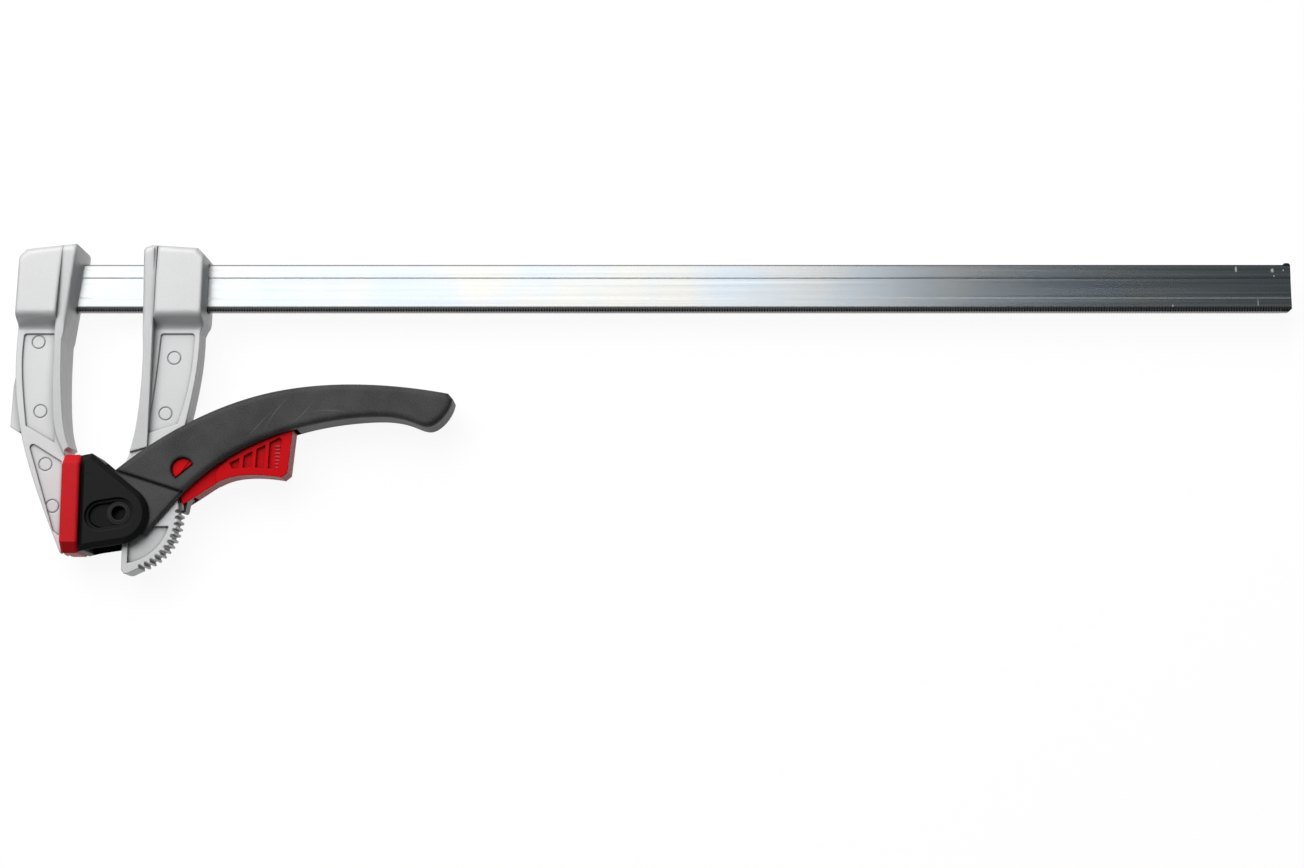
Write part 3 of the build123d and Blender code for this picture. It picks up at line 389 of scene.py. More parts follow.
def darkened(tree, entry, end, mask):
    """Ends a group with its colour, made darker by its depth where the mask is."""
    loss = compute(tree, (1, 0), "MULTIPLY", mask, entry["Depth"])
    left = compute(tree, (2, 0), "SUBTRACT", 1.0, loss)
    feed(tree, compute_vector(tree, (4, 0), "SCALE", entry["Color"], left), end["Color"])


def groove_shade_group():
    """Painted shade: darker colour in a piece's own grooves, pockets and gaps, where its ambient
    occlusion is low.
    """
    tree, entry, end = group_tree(
        "groove_shade",
        (
            COLOUR_INPUT,
            ("Reach", "NodeSocketFloat", 0.003),
            ("Depth", "NodeSocketFloat", 0.5),
        ),
        (("Color", "NodeSocketColor"),),
    )
    open_sky = add_node(tree, "ShaderNodeAmbientOcclusion", (-3, 0), samples=8, only_local=True)
    feed(tree, entry["Reach"], open_sky.inputs["Distance"])
    darkened(tree, entry, end, ramp(tree, (-1, 0), open_sky.outputs["AO"], 0.95, 0.35))
    return tree


def parting_group():
    """A thin darker line on a piece's middle plane, where the two halves of its mould met."""
    tree, entry, end = group_tree(
        "parting_line",
        (
            COLOUR_INPUT,
            ("Half Width", "NodeSocketFloat", 0.00012),
            ("Depth", "NodeSocketFloat", 0.4),
        ),
        (("Color", "NodeSocketColor"),),
    )
    spot = coordinates(tree, (-4, -1), object_place(tree, (-5, -1)))
    away = compute(tree, (-3, -1), "ABSOLUTE", spot["Z"])
    darkened(tree, entry, end, compute(tree, (-2, -1), "LESS_THAN", away, entry["Half Width"]))
    return tree


def spot_group():
    """Mask of one worn spot, an ellipse with a ragged rim, on the near side."""
    tree, entry, end = group_tree(
        "worn_spot",
        (
            ("Centre", "NodeSocketVector", (0.0, 0.0, 0.0)),
            ("Half Size", "NodeSocketVector", (0.001, 0.001, 1.0)),
            ("Ragged", "NodeSocketFloat", 0.4),
        ),
        (("Mask", "NodeSocketFloat"),),
    )
    place = object_place(tree, (-6, -1))
    away = compute_vector(tree, (-4, 0), "SUBTRACT", place, entry["Centre"])
    share = compute_vector(tree, (-3, 0), "DIVIDE", away, entry["Half Size"])
    far = compute_vector(tree, (-2, 0), "LENGTH", share)
    rim = noise(tree, (-4, -2), place, 2200.0)
    ragged = compute(tree, (-1, -1), "MULTIPLY_ADD", rim, entry["Ragged"], far)
    feed(tree, ramp(tree, (1, 0), ragged, 1.2, 0.9), end["Mask"])
    return tree


def arc_group():
    """Mask of one faint scratch, an arc of a circle that fades at its ends, on the near side."""
    tree, entry, end = group_tree(
        "scratch_arc",
        (
            ("Centre", "NodeSocketVector", (0.0, 0.0, 0.0)),
            ("Radius", "NodeSocketFloat", 0.03),
            ("Middle", "NodeSocketVector", (0.0, 0.0, 0.0)),
            ("Reach", "NodeSocketFloat", 0.007),
            ("Half Width", "NodeSocketFloat", 0.0003),
        ),
        (("Mask", "NodeSocketFloat"),),
    )
    place = object_place(tree, (-7, 0))
    flat = compute_vector(tree, (-6, 0), "MULTIPLY", place, (1.0, 1.0, 0.0))
    far = compute_vector(tree, (-5, 1), "DISTANCE", flat, entry["Centre"])
    off = compute(tree, (-4, 1), "SUBTRACT", far, entry["Radius"])
    gap = compute(tree, (-3, 1), "ABSOLUTE", off)
    thin = ramp(tree, (-2, 1), gap, entry["Half Width"], 0.0)
    along = compute_vector(tree, (-5, -1), "DISTANCE", flat, entry["Middle"])
    ends = ramp(tree, (-2, -1), along, entry["Reach"], 0.0)
    depth = coordinates(tree, (-5, -2), place)["Z"]
    near = compute(tree, (-2, -2), "GREATER_THAN", depth, 0.0)
    both = compute(tree, (0, 0), "MULTIPLY", thin, ends)
    feed(tree, compute(tree, (2, 0), "MULTIPLY", both, near), end["Mask"])
    return tree


GROUP_MAKERS = {
    "surface_grain": grain_group,
    "soft_edges": edge_group,
    "groove_shade": groove_shade_group,
    "parting_line": parting_group,
    "worn_spot": spot_group,
    "scratch_arc": arc_group,
}
MADE_GROUPS = {}


def add_group(tree, name, place, **values):
    """The outputs of a new node for a shared group, which is built the first time.

    An underscore in a value's name stands for the space in the socket's name.
    """
    if name not in MADE_GROUPS:
        MADE_GROUPS[name] = GROUP_MAKERS[name]()
    node = add_node(tree, "ShaderNodeGroup", place, node_tree=MADE_GROUPS[name], name=name)
    for label, value in values.items():
        feed(tree, value, node.inputs[label.replace("_", " ")])
    return node.outputs


# --- finish helpers -----------------------------------------------------------


def grained_material(
    name, base, rough, grain_scale, bump, edge, groove_shade=(0.003, 0.5), shifts=(0.06, 0.08)
):
    """A painted or moulded finish with grain, mottling, soft edges with painted highlight and
    shade, and painted shade in its grooves.

    edge is the edges' radius and the tint of their painted highlight and shade as a share of the
    base colour, the groove setting the reach and depth of the painted shade in the grooves, shifts
    how far the mottling goes in colour and in roughness.
    """
    material, tree, shader = new_material(name)
    grain = add_group(
        tree,
        "surface_grain",
        (-3, 0),
        Color=opaque(base),
        Grain_Scale=grain_scale,
        Roughness=rough,
        Color_Shift=shifts[0],
        Roughness_Shift=shifts[1],
    )
    edges = add_group(tree, "soft_edges", (-3, -2), Radius=edge[0])
    # painted highlight and shade along the soft edges: a lighter or darker share of the base colour
    edge_light_and_wear = mix(tree, (0, 1), edges["Edge"], grain["Color"], opaque(scaled(base, edge[1])))
    # painted shade in the piece's own grooves, pockets and gaps
    shaded_grooves = add_group(tree, "groove_shade", (2, 1), Color=edge_light_and_wear, Reach=groove_shade[0], Depth=groove_shade[1])
    parting = add_group(tree, "parting_line", (3, 1), Color=shaded_grooves["Color"])
    feed(tree, parting["Color"], shader.inputs["Base Color"])
    feed(tree, grain["Roughness"], shader.inputs["Roughness"])
    add_relief(tree, shader, grain["Height"], edges["Normal"], bump)
    return material, tree, shader


def add_relief(tree, shader, height, normal, strength):
    """Fine relief from a height, on the rounded shading of the edges."""
    relief = add_node(tree, "ShaderNodeBump", (2, -1))
    relief.inputs["Strength"].default_value = strength
    relief.inputs["Distance"].default_value = RELIEF_DEPTH
    feed(tree, height, relief.inputs["Height"])
    feed(tree, normal, relief.inputs["Normal"])
    link(tree, relief, "Normal", shader, "Normal")


def marked(tree, shader, masks, tone, strength):
    """Mixes a tone into the base colour where any of the masks is, and returns how much."""
    socket = shader.inputs["Base Color"]
    plain = socket.links[0].from_socket
    total, *others = masks
    for mask in others:
        total = compute(tree, (2, 3), "MAXIMUM", total, mask)
    share = compute(tree, (3, 3), "MULTIPLY", total, strength)
    feed(tree, mix(tree, (3, 2), share, plain, opaque(tone)), socket)
    return share


def paint(material, *names):
    """Gives CAD nodes a material in all their slots."""
    for name in names:
        slots = NODES[name].material_slots
        for slot in slots:
            slot.material = material
        if not slots:
            NODES[name].data.materials.append(material)


# --- finishes -----------------------------------------------------------------

# faint scratches on the lever's near cheek: centre, radius, middle and half length
LEVER_SCRATCHES = (
    ((0.1272, 0.0101), 0.0486, (0.0876, 0.0383), 0.0096),
    ((0.0724, 0.0635), 0.0373, (0.0994, 0.0378), 0.0079),
    ((0.1094, -0.0036), 0.0426, (0.1106, 0.0390), 0.0109),
    ((0.1630, -0.0407), 0.1103, (0.0811, 0.0331), 0.0083),
)
# worn spots on the rail's near face, by its free end: middle, half size and raggedness
RAIL_SPOTS = (
    ((0.4915, 0.1006), (0.0005, 0.0013), 0.3),
    ((0.5068, 0.1001), (0.0010, 0.0015), 0.9),
    ((0.5075, 0.0977), (0.0004, 0.0004), 0.5),
    ((0.5115, 0.1002), (0.0004, 0.0004), 0.6),
    ((0.5003, 0.0862), (0.0002, 0.0017), 0.5),
    ((0.4643, 0.0849), (0.0003, 0.0006), 0.5),
)
SPOT_DEPTH = 0.001
SPOT_TONE = (0.8, 0.8, 0.8)
# shares of the zinc's colour at the two ends of its clouds
ZINC_TINTS = ((0.93, 0.99, 1.05), (1.05, 1.01, 0.95))
DARK_STEEL_GLOSS = 0.12


class CLAMP_OT_finish_cast(bpy.types.Operator):
    """Satin silver paint on the two cast arms"""

    bl_idname = "clamp.finish_cast"
    bl_label = "Cast arms' finish"

    def execute(self, context):
        colours = context.scene.clamp_colours
        # painted shade: the arms' edges are tinted a little darker, and their creases and grooves
        # are darkened deeply
        material, tree, shader = grained_material(
            "cast_paint",
            tuple(colours.cast),
            rough=0.42,
            grain_scale=2200.0,
            bump=0.14,
            edge=(ARM_ROUND, 0.9),
            groove_shade=(0.0045, 0.72),
            shifts=(0.14, 0.08),
        )
        shader.inputs["Metallic"].default_value = 0.22
        shader.inputs["IOR"].default_value = 1.25
        self.round_hubs(tree, colours.hub_round)
        paint(material, *CAST_NODES)
        return {"FINISHED"}

    def round_hubs(self, tree, radius):
        """Rounder shading on the hubs around the rail than on the arms below them."""
        height = coordinates(tree, (-5, -2), object_place(tree, (-6, -2)))["Y"]
        hub = ramp(tree, (-4, -2), height, RAIL_LOW.y - HUB_FADE[0], RAIL_LOW.y - HUB_FADE[1])
        hub.node.inputs["To Min"].default_value = ARM_ROUND
        hub.node.inputs["To Max"].default_value = radius
        feed(tree, hub, tree.nodes["soft_edges"].inputs["Radius"])


class CLAMP_OT_finish_rail(bpy.types.Operator):
    """Bright zinc plate on the rail, drawn along its length"""

    bl_idname = "clamp.finish_rail"
    bl_label = "Rail's finish"

    def execute(self, context):
        rail = context.scene.clamp_rail
        material, tree, shader = new_material("zinc_plate")
        place = object_place(tree, (-6, 0))
        spot = coordinates(tree, (-5, -4), place)
        streaks = self.drawn_streaks(tree, place, shader)
        edges = add_group(tree, "soft_edges", (0, -3), Radius=0.0006)
        add_relief(tree, shader, streaks, edges["Normal"], 0.08)
        # painted shade along the serrated lower edge, where the zinc is also dull and not metallic
        band_top = RAIL_LOW.y + rail.shaded_band_height
        shaded_band = ramp(tree, (-3, -4), spot["Y"], band_top + BAND_FADE, band_top)
        # painted shade along the upper edge
        lip_foot = RAIL_LOW.y + RAIL_HEIGHT - rail.lip_height
        lip_shade = ramp(tree, (-3, -5), spot["Y"], lip_foot, lip_foot + BAND_FADE)
        tint = self.clouded(tree, place, context.scene.clamp_colours.zinc)
        lower = mix(tree, (0, -2), shaded_band, tint, self.tooth_stripes(tree, spot, rail))
        upper = mix(tree, (1, -2), lip_shade, lower, opaque(rail.lip_shade_colour))
        feed(tree, upper, shader.inputs["Base Color"])
        spots = [self.worn_spot(tree, *entry) for entry in RAIL_SPOTS]
        edge_light_and_wear = marked(tree, shader, spots, SPOT_TONE, 0.9)
        dull = compute(tree, (2, 4), "MAXIMUM", edge_light_and_wear, shaded_band)
        bare = compute(tree, (3, 4), "SUBTRACT", 1.0, dull)
        feed(tree, bare, shader.inputs["Metallic"])
        paint(material, "rail")
        return {"FINISHED"}

    def drawn_streaks(self, tree, place, shader):
        """Streaks along the rail, which also set how rough it is."""
        stretch = add_node(tree, "ShaderNodeMapping", (-5, 0))
        stretch.inputs["Scale"].default_value = (6.0, 900.0, 900.0)
        feed(tree, place, stretch.inputs["Vector"])
        streaks = noise(tree, (-4, 0), stretch.outputs["Vector"], 1.0, 5.0)
        rough = ramp(tree, (-2, 0), streaks, 0.0, 1.0)
        rough.node.inputs["To Min"].default_value = 0.16
        rough.node.inputs["To Max"].default_value = 0.34
        feed(tree, rough, shader.inputs["Roughness"])
        return streaks

    def clouded(self, tree, place, base):
        """The zinc's colour, in faint clouds between bluish and yellowish."""
        tint = add_node(tree, "ShaderNodeValToRGB", (-2, -2))
        for stop, position, shares in zip(tint.color_ramp.elements, (0.35, 0.65), ZINC_TINTS):
            stop.position = position
            stop.color = opaque(part * share for part, share in zip(base, shares))
        feed(tree, noise(tree, (-4, -2), place, 28.0, 3.0), tint.inputs["Fac"])
        return tint.outputs["Color"]

    def tooth_stripes(self, tree, spot, rail):
        """The dark band's colour: dull teeth with painted shade in the gaps between them, in step
        with the serrations.
        """
        pitch = rail.tooth_pitch
        first = 0.5 - (RAIL_LOW.x + rail.end_margin) / pitch
        steps = compute(tree, (-4, -6), "MULTIPLY_ADD", spot["X"], 1.0 / pitch, first)
        share = compute(tree, (-3, -6), "FRACT", steps)
        centred = compute(tree, (-2, -6), "SUBTRACT", share, 0.5)
        away = compute(tree, (-1, -6), "ABSOLUTE", centred)
        tooth = compute(tree, (0, -6), "LESS_THAN", away, 0.5 * rail.tooth_width / pitch)
        return mix(tree, (1, -6), tooth, opaque(rail.serration_shade_colour), opaque(rail.tooth_colour))

    def worn_spot(self, tree, centre, half_size, ragged):
        """The mask of one worn spot on the rail's near face."""
        return add_group(
            tree,
            "worn_spot",
            (-2, 3),
            Centre=(*centre, RAIL_HIGH.z),
            Half_Size=(*half_size, SPOT_DEPTH),
            Ragged=ragged,
        )["Mask"]


class CLAMP_OT_finish_steel(bpy.types.Operator):
    """Ground steel on pins and inserts, blackened steel on the axle and cams"""

    bl_idname = "clamp.finish_steel"
    bl_label = "Small steel parts' finish"

    def execute(self, context):
        colours = context.scene.clamp_colours
        # painted highlights on the edges of all three steels, and painted shade in their grooves,
        # deepest in the axle's bore
        material, tree, shader = grained_material(
            "ground_steel",
            tuple(colours.steel),
            rough=0.32,
            grain_scale=3500.0,
            bump=0.1,
            edge=(0.0002, 1.2),
        )
        shader.inputs["Metallic"].default_value = 1.0
        paint(material, *INSERT_NODES)
        material, tree, shader = grained_material(
            "blackened_steel",
            tuple(colours.dark_steel),
            rough=0.34,
            grain_scale=3500.0,
            bump=0.1,
            edge=(0.0003, 2.5),
            groove_shade=(0.004, 0.9),
        )
        shader.inputs["Specular IOR Level"].default_value = DARK_STEEL_GLOSS
        paint(material, *DARK_STEEL_NODES)
        material, tree, shader = grained_material(
            "axle_steel",
            tuple(colours.axle),
            rough=0.3,
            grain_scale=3500.0,
            bump=0.1,
            edge=(0.0004, 2.0),
            groove_shade=(0.005, 0.97),
        )
        shader.inputs["Specular IOR Level"].default_value = DARK_STEEL_GLOSS
        paint(material, *AXLE_NODES)
        return {"FINISHED"}


class CLAMP_OT_finish_plastic(bpy.types.Operator):
    """Grained plastic on the lever, the housing, the cap and the trigger"""

    bl_idname = "clamp.finish_plastic"
    bl_label = "Plastic parts' finish"

    def execute(self, context):
        colours = context.scene.clamp_colours
        self.lever(tuple(colours.lever))
        self.housing(tuple(colours.housing))
        self.trigger(tuple(colours.red))
        self.cap(tuple(colours.cap))
        return {"FINISHED"}

    def lever(self, tone):
        """Coarse grain and a few faint scratches on the lever."""
        # painted shade: the lever's edges are tinted near black, a dark band along them, and its
        # grooves are darkened
        material, tree, shader = grained_material(
            "lever_plastic",
            tone,
            rough=0.52,
            grain_scale=1900.0,
            bump=0.35,
            edge=(0.0018, 0.05),
            groove_shade=(0.002, 0.7),
            shifts=(1.6, 0.2),
        )
        shader.inputs["IOR"].default_value = 1.33
        scratches = [self.scratch(tree, *entry) for entry in LEVER_SCRATCHES]
        marked(tree, shader, scratches, scaled(tone, 2.6), 0.8)
        paint(material, "lever")

    def housing(self, tone):
        """Fine grain on the pressure housing."""
        # painted highlight: the housing's rounded edges are tinted lighter, and its grooves are
        # darkened as painted shade
        material, tree, shader = grained_material(
            "housing_plastic",
            tone,
            rough=0.46,
            grain_scale=2100.0,
            bump=0.3,
            edge=(0.0006, 2.2),
            groove_shade=(0.004, 0.8),
            shifts=(0.7, 0.15),
        )
        shader.inputs["IOR"].default_value = 1.25
        paint(material, "pressure_housing")

    def trigger(self, tone):
        """Smooth red on the trigger, with a seam across its trunnions."""
        # painted shade: the trigger's edges are tinted darker and its windows' floors are darkened
        material, tree, shader = grained_material(
            "red_plastic",
            tone,
            rough=0.36,
            grain_scale=2400.0,
            bump=0.15,
            edge=(0.0006, 0.8),
            shifts=(0.22, 0.1),
        )
        shader.inputs["IOR"].default_value = 1.15
        marked(tree, shader, [self.trunnion_seam(tree)], scaled(tone, 0.25), 0.8)
        paint(material, "trigger")

    def cap(self, tone):
        """Duller red on the pressure cap."""
        # painted shade: the cap's edges are tinted darker and its recesses are darkened
        material, tree, shader = grained_material(
            "cap_plastic",
            tone,
            rough=0.42,
            grain_scale=2200.0,
            bump=0.2,
            edge=(0.0009, 0.8),
            groove_shade=(0.0035, 0.6),
            shifts=(0.22, 0.1),
        )
        shader.inputs["IOR"].default_value = 1.2
        paint(material, "pressure_cap")

    def scratch(self, tree, centre, radius, middle, reach):
        """The mask of one scratch on the lever."""
        return add_group(
            tree,
            "scratch_arc",
            (0, 4),
            Centre=(*centre, 0.0),
            Radius=radius,
            Middle=(*middle, 0.0),
            Reach=reach,
        )["Mask"]

    def trunnion_seam(self, tree):
        """A thin seam across the ends of the trigger's trunnions."""
        place = object_place(tree, (-5, 4))
        away = compute_vector(tree, (-4, 4), "SUBTRACT", place, (*TRUNNION_CENTRE, 0.0))
        off = compute_vector(tree, (-3, 4), "DOT_PRODUCT", away, TRUNNION_SEAM_NORMAL)
        gap = compute(tree, (-2, 4), "ABSOLUTE", off)
        thin = compute(tree, (-1, 4), "LESS_THAN", gap, TRUNNION_SEAM_HALF)
        depth = compute(tree, (-3, 5), "ABSOLUTE", coordinates(tree, (-4, 5), place)["Z"])
        outer = compute(tree, (-2, 5), "GREATER_THAN", depth, TRUNNION_INNER_Z)
        return compute(tree, (0, 4), "MULTIPLY", thin, outer)


# --- stage --------------------------------------------------------------------


def grey(level):
    """An opaque grey."""
    return (level, level, level, 1.0)


class CLAMP_OT_build_stage(bpy.types.Operator):
    """Floor, softbox, world and camera"""

    bl_idname = "clamp.build_stage"
    bl_label = "Stage"

    def execute(self, context):
        settings = context.scene.clamp_stage
        context.scene.view_settings.view_transform = "Standard"
        self.floor(context, settings)
        self.world(context, settings)
        self.lamp(context, settings)
        self.camera(context, settings)
        return {"FINISHED"}

    def floor(self, context, settings):
        """A white floor that shows plain white, with the clamp's faint shadow."""
        half = settings.floor_size / 2
        mesh = bpy.data.meshes.new("floor")
        corners = [(x * half, y * half, FLOOR_Z) for x, y in ((-1, -1), (1, -1), (1, 1), (-1, 1))]
        mesh.from_pydata(corners, [], [(0, 1, 2, 3)])
        floor = bpy.data.objects.new("floor", mesh)
        context.scene.collection.objects.link(floor)
        material = bpy.data.materials.new("floor_white")
        material.use_nodes = True
        tree = material.node_tree
        tree.nodes.clear()
        output = add_node(tree, "ShaderNodeOutputMaterial", (5, 0))
        choice = add_node(tree, "ShaderNodeMixShader", (4, 0))
        bounce = add_node(tree, "ShaderNodeBsdfDiffuse", (2, 1))
        bounce.inputs["Color"].default_value = grey(settings.floor_bounce)
        seen = add_node(tree, "ShaderNodeAddShader", (3, -1))
        glow = add_node(tree, "ShaderNodeEmission", (2, -1))
        glow.inputs["Strength"].default_value = settings.floor_glow
        shade = add_node(tree, "ShaderNodeBsdfDiffuse", (2, -2))
        shade.inputs["Color"].default_value = grey(settings.floor_shade)
        link(tree, glow, "Emission", seen, 0)
        link(tree, shade, "BSDF", seen, 1)
        feed(tree, self.background_rays(tree), choice.inputs[0])
        link(tree, bounce, "BSDF", choice, 1)
        link(tree, seen, "Shader", choice, 2)
        link(tree, choice, "Shader", output, "Surface")
        mesh.materials.append(material)

    def background_rays(self, tree):
        """1 for the rays that should meet the white background."""
        rays = add_node(tree, "ShaderNodeLightPath", (-2, 2)).outputs
        both = compute(tree, (-1, 2), "MAXIMUM", rays["Is Camera Ray"], rays["Is Glossy Ray"])
        return compute(tree, (0, 2), "MAXIMUM", both, rays["Is Transmission Ray"])

    def world(self, context, settings):
        """White to the camera, a tent with one dark side to metal, and dim grey as light."""
        world = bpy.data.worlds.new("studio")
        world.use_nodes = True
        tree = world.node_tree
        tree.nodes.clear()
        output = add_node(tree, "ShaderNodeOutputWorld", (5, 0))
        sky = add_node(tree, "ShaderNodeBackground", (4, 0))
        direction = add_node(tree, "ShaderNodeTexCoord", (-4, 0)).outputs["Generated"]
        side = compute_vector(tree, (-3, 0), "DOT_PRODUCT", direction, DARK_SIDE_AXIS)
        fade = ramp(tree, (-2, 0), side, *DARK_SIDE_FADE, interpolation_type="SMOOTHSTEP")
        tent = mix(tree, (0, 0), fade, opaque(settings.dark_side), grey(1.0))
        background = self.background_rays(tree)
        lit = mix(tree, (1, 0), background, grey(settings.sky_level), tent)
        rays = add_node(tree, "ShaderNodeLightPath", (-2, 2)).outputs
        shown = mix(tree, (2, 0), rays["Is Camera Ray"], lit, grey(1.0))
        feed(tree, shown, sky.inputs["Color"])
        link(tree, sky, "Background", output, "Surface")
        context.scene.world = world

    def lamp(self, context, settings):
        """One wide softbox over the jaws' end of the clamp."""
        data = bpy.data.lights.new("softbox", "AREA")
        data.shape = "RECTANGLE"
        data.size = settings.softbox_right - settings.softbox_left
        data.size_y = settings.softbox_depth
        data.energy = settings.softbox_level * math.pi * data.size * data.size_y
        softbox = bpy.data.objects.new("softbox", data)
        middle = (settings.softbox_right + settings.softbox_left) / 2
        softbox.location = (middle, settings.softbox_middle, settings.softbox_height)
        softbox.visible_camera = False
        context.scene.collection.objects.link(softbox)

    def camera(self, context, settings):
        """The camera, looking down on the clamp's flat side."""
        data = bpy.data.cameras.new("camera")
        data.lens = settings.lens
        data.sensor_width = SENSOR_WIDTH
        data.clip_start = 0.01
        camera = bpy.data.objects.new("camera", data)
        camera.location = settings.camera_place
        camera.rotation_euler = (settings.camera_pitch, 0.0, 0.0)
        context.scene.collection.objects.link(camera)
        context.scene.camera = camera


# --- pieces made here ---------------------------------------------------------

ROW_INPUTS = (
    ("Geometry", "NodeSocketGeometry"),
    ("Count", "NodeSocketInt"),
    ("Start", "NodeSocketVector"),
    ("Pitch", "NodeSocketVector"),
)


def row_tree(name, material):
    """Geometry nodes that repeat the given mesh in a straight row."""
    tree = bpy.data.node_groups.new(name, "GeometryNodeTree")
    for label, kind in ROW_INPUTS:
        tree.interface.new_socket(label, in_out="INPUT", socket_type=kind)
    tree.interface.new_socket("Geometry", in_out="OUTPUT", socket_type="NodeSocketGeometry")
    entry = add_node(tree, "NodeGroupInput", (-6, 0))
    end = add_node(tree, "NodeGroupOutput", (8, 0))
    row = add_node(tree, "GeometryNodeMeshLine", (-2, 1), mode="OFFSET")
    link(tree, entry, "Count", row, "Count")
    link(tree, entry, "Start", row, "Start Location")
    link(tree, entry, "Pitch", row, "Offset")
    copies = add_node(tree, "GeometryNodeInstanceOnPoints", (2, 0))
    link(tree, row, "Mesh", copies, "Points")
    link(tree, entry, "Geometry", copies, "Instance")
    real = add_node(tree, "GeometryNodeRealizeInstances", (4, 0))
    link(tree, copies, "Instances", real, "Geometry")
    coat = add_node(tree, "GeometryNodeSetMaterial", (6, 0))
    coat.inputs["Material"].default_value = material
    link(tree, real, "Geometry", coat, "Geometry")
    link(tree, coat, "Geometry", end, "Geometry")
    return tree


def grown_piece(context, name, seed_mesh, tree, values):
    """Runs a geometry tree once on a seed mesh and keeps the result as a plain mesh."""
    carrier = bpy.data.objects.new(name + "_carrier", seed_mesh)
    context.scene.collection.objects.link(carrier)
    modifier = carrier.modifiers.new("grow", "NODES")
    modifier.node_group = tree
    for item in tree.interface.items_tree:
        if item.in_out == "INPUT" and item.name in values:
            modifier[item.identifier] = values[item.name]
    graph = context.evaluated_depsgraph_get()
    mesh = bpy.data.meshes.new_from_object(carrier.evaluated_get(graph))
    mesh.name = name
    bpy.data.objects.remove(carrier)
    piece = bpy.data.objects.new(name, mesh)
    context.scene.collection.objects.link(piece)
    return piece


# a serration's faces, over its foot's corners 0, 1, 4 and 5 and its tip's corners 2 and 3
TOOTH_FACES = ((0, 2, 1), (3, 4, 5), (0, 4, 3, 2), (1, 2, 3, 5), (0, 1, 5, 4))


class CLAMP_OT_add_serrations(bpy.types.Operator):
    """Fine serrations along the two lower corners of the rail"""

    bl_idname = "clamp.add_serrations"
    bl_label = "Rail serrations"

    def execute(self, context):
        rail = context.scene.clamp_rail
        run = RAIL_HIGH.x - RAIL_LOW.x - 2 * rail.end_margin
        piece = grown_piece(
            context,
            "rail_serrations",
            self.tooth_mesh(rail),
            row_tree("serration_row", self.material(rail)),
            {
                "Count": int(run / rail.tooth_pitch),
                "Start": (RAIL_LOW.x + rail.end_margin, 0.0, 0.0),
                "Pitch": (rail.tooth_pitch, 0.0, 0.0),
            },
        )
        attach(piece, "frame")
        return {"FINISHED"}

    def tooth_mesh(self, rail):
        """One blunt wedge in each of the rail's two lower corners."""
        foot = rail.tooth_width / 2
        crown = foot * rail.tooth_crown
        reach = rail.tooth_reach
        blunt = reach * rail.tooth_blunt
        points = []
        faces = []
        for side in (-1, 1):
            face_z = side * RAIL_HIGH.z
            base = len(points)
            low = (RAIL_LOW.y, face_z - side * reach)
            high = (RAIL_LOW.y + reach, face_z)
            tip = (RAIL_LOW.y + blunt, face_z - side * blunt)
            points += [(-foot, *low), (-foot, *high), (-crown, *tip)]
            points += [(crown, *tip), (foot, *low), (foot, *high)]
            for face in TOOTH_FACES:
                turned = face if side > 0 else reversed(face)
                faces.append(tuple(base + corner for corner in turned))
        mesh = bpy.data.meshes.new("serration_tooth")
        mesh.from_pydata(points, [], faces)
        return mesh

    def material(self, rail):
        """Dark dull zinc on the teeth, with painted highlights on their edges."""
        material, tree, shader = grained_material(
            "serrated_zinc",
            tuple(rail.tooth_colour),
            rough=0.4,
            grain_scale=3000.0,
            bump=0.1,
            edge=(0.0001, 2.0),
        )
        shader.inputs["Metallic"].default_value = 0.3
        return material


# stations along a grip rib: share of its length and share of its radius
RIB_STATIONS = ((0.0, 0.35), (0.2, 1.0), (0.8, 1.0), (1.0, 0.35))
RIB_RING = 6


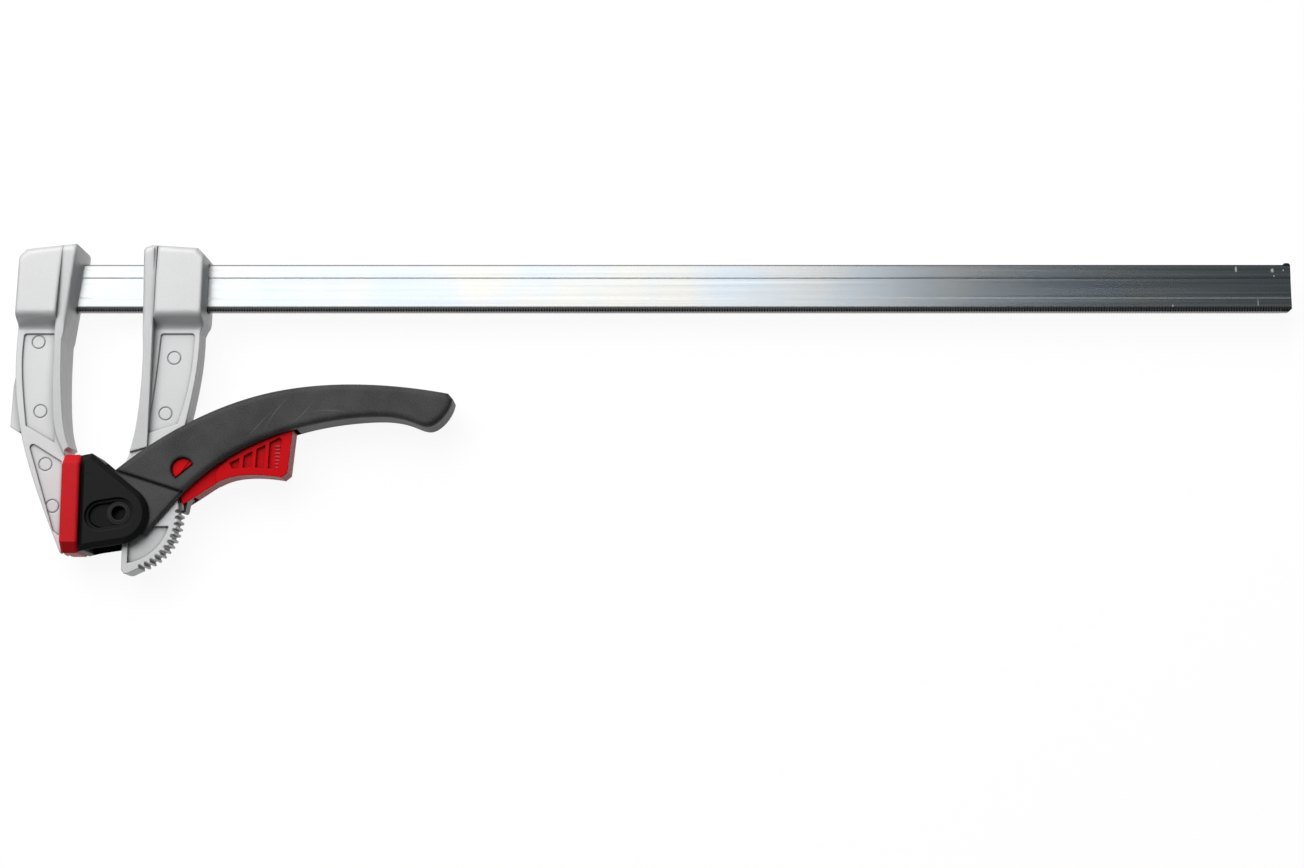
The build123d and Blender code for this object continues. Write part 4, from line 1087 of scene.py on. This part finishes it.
class CLAMP_OT_add_grip_ribs(bpy.types.Operator):
    """Fine ribs on the floor of the trigger's windows, at their outer end"""

    bl_idname = "clamp.add_grip_ribs"
    bl_label = "Grip ribs"

    def execute(self, context):
        grip = context.scene.clamp_grip
        start = Vector(grip.rib_start)
        step = (Vector(grip.rib_end) - start) / (grip.rib_count - 1)
        piece = grown_piece(
            context,
            "trigger_grip_ribs",
            self.rib_mesh(grip),
            row_tree("grip_rib_row", bpy.data.materials["red_plastic"]),
            {"Count": grip.rib_count, "Start": tuple(start), "Pitch": tuple(step)},
        )
        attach(piece, "trigger")
        return {"FINISHED"}

    def rib_mesh(self, grip):
        """One half-round rib with tapered ends on the window's floor at each side."""
        points = []
        faces = []
        last = len(RIB_STATIONS) - 1
        for side in (-1, 1):
            face_z = side * WINDOW_FLOOR_Z
            base = len(points)
            for end, share in RIB_STATIONS:
                radius = grip.rib_radius * share
                for corner in range(RIB_RING):
                    angle = math.pi * corner / (RIB_RING - 1)
                    rise = math.sin(angle) * radius - grip.rib_sink
                    across = math.cos(angle) * radius
                    points.append((end * grip.rib_length, across, face_z + side * rise))
            for band in range(last):
                for corner in range(RIB_RING - 1):
                    a = base + band * RIB_RING + corner
                    quad = (a, a + RIB_RING, a + RIB_RING + 1, a + 1)
                    faces.append(quad if side > 0 else tuple(reversed(quad)))
            for band, flip in ((0, False), (last, True)):
                cap = tuple(base + band * RIB_RING + corner for corner in range(RIB_RING))
                faces.append(tuple(reversed(cap)) if flip == (side > 0) else cap)
        mesh = bpy.data.meshes.new("grip_rib")
        mesh.from_pydata(points, [], faces)
        return mesh


# --- panel and registration ---------------------------------------------------

STEPS = (
    "finish_cast",
    "finish_rail",
    "finish_steel",
    "finish_plastic",
    "add_serrations",
    "add_grip_ribs",
    "build_stage",
)


class CLAMP_PT_panel(bpy.types.Panel):
    """Lists the clamp's steps in the sidebar"""

    bl_idname = "CLAMP_PT_panel"
    bl_label = "Bar clamp"
    bl_space_type = "VIEW_3D"
    bl_region_type = "UI"
    bl_category = "Clamp"

    def draw(self, context):
        for step in STEPS:
            self.layout.operator("clamp." + step)


SETTINGS = {
    "clamp_rail": ClampRailSettings,
    "clamp_grip": ClampGripSettings,
    "clamp_colours": ClampColourSettings,
    "clamp_stage": ClampStageSettings,
}
CLASSES = (
    *SETTINGS.values(),
    CLAMP_OT_finish_cast,
    CLAMP_OT_finish_rail,
    CLAMP_OT_finish_steel,
    CLAMP_OT_finish_plastic,
    CLAMP_OT_add_serrations,
    CLAMP_OT_add_grip_ribs,
    CLAMP_OT_build_stage,
    CLAMP_PT_panel,
)


def register():
    """Registers the classes and hangs their settings on the scene."""
    for entry in CLASSES:
        bpy.utils.register_class(entry)
    for name, kind in SETTINGS.items():
        setattr(bpy.types.Scene, name, PointerProperty(type=kind))


def unregister():
    """Takes the settings and classes away again."""
    for name in SETTINGS:
        delattr(bpy.types.Scene, name)
    for entry in reversed(CLASSES):
        bpy.utils.unregister_class(entry)


def main():
    """Builds everything."""
    register()
    for step in STEPS:
        getattr(bpy.ops.clamp, step)()


if __name__ == "__main__":
    main()
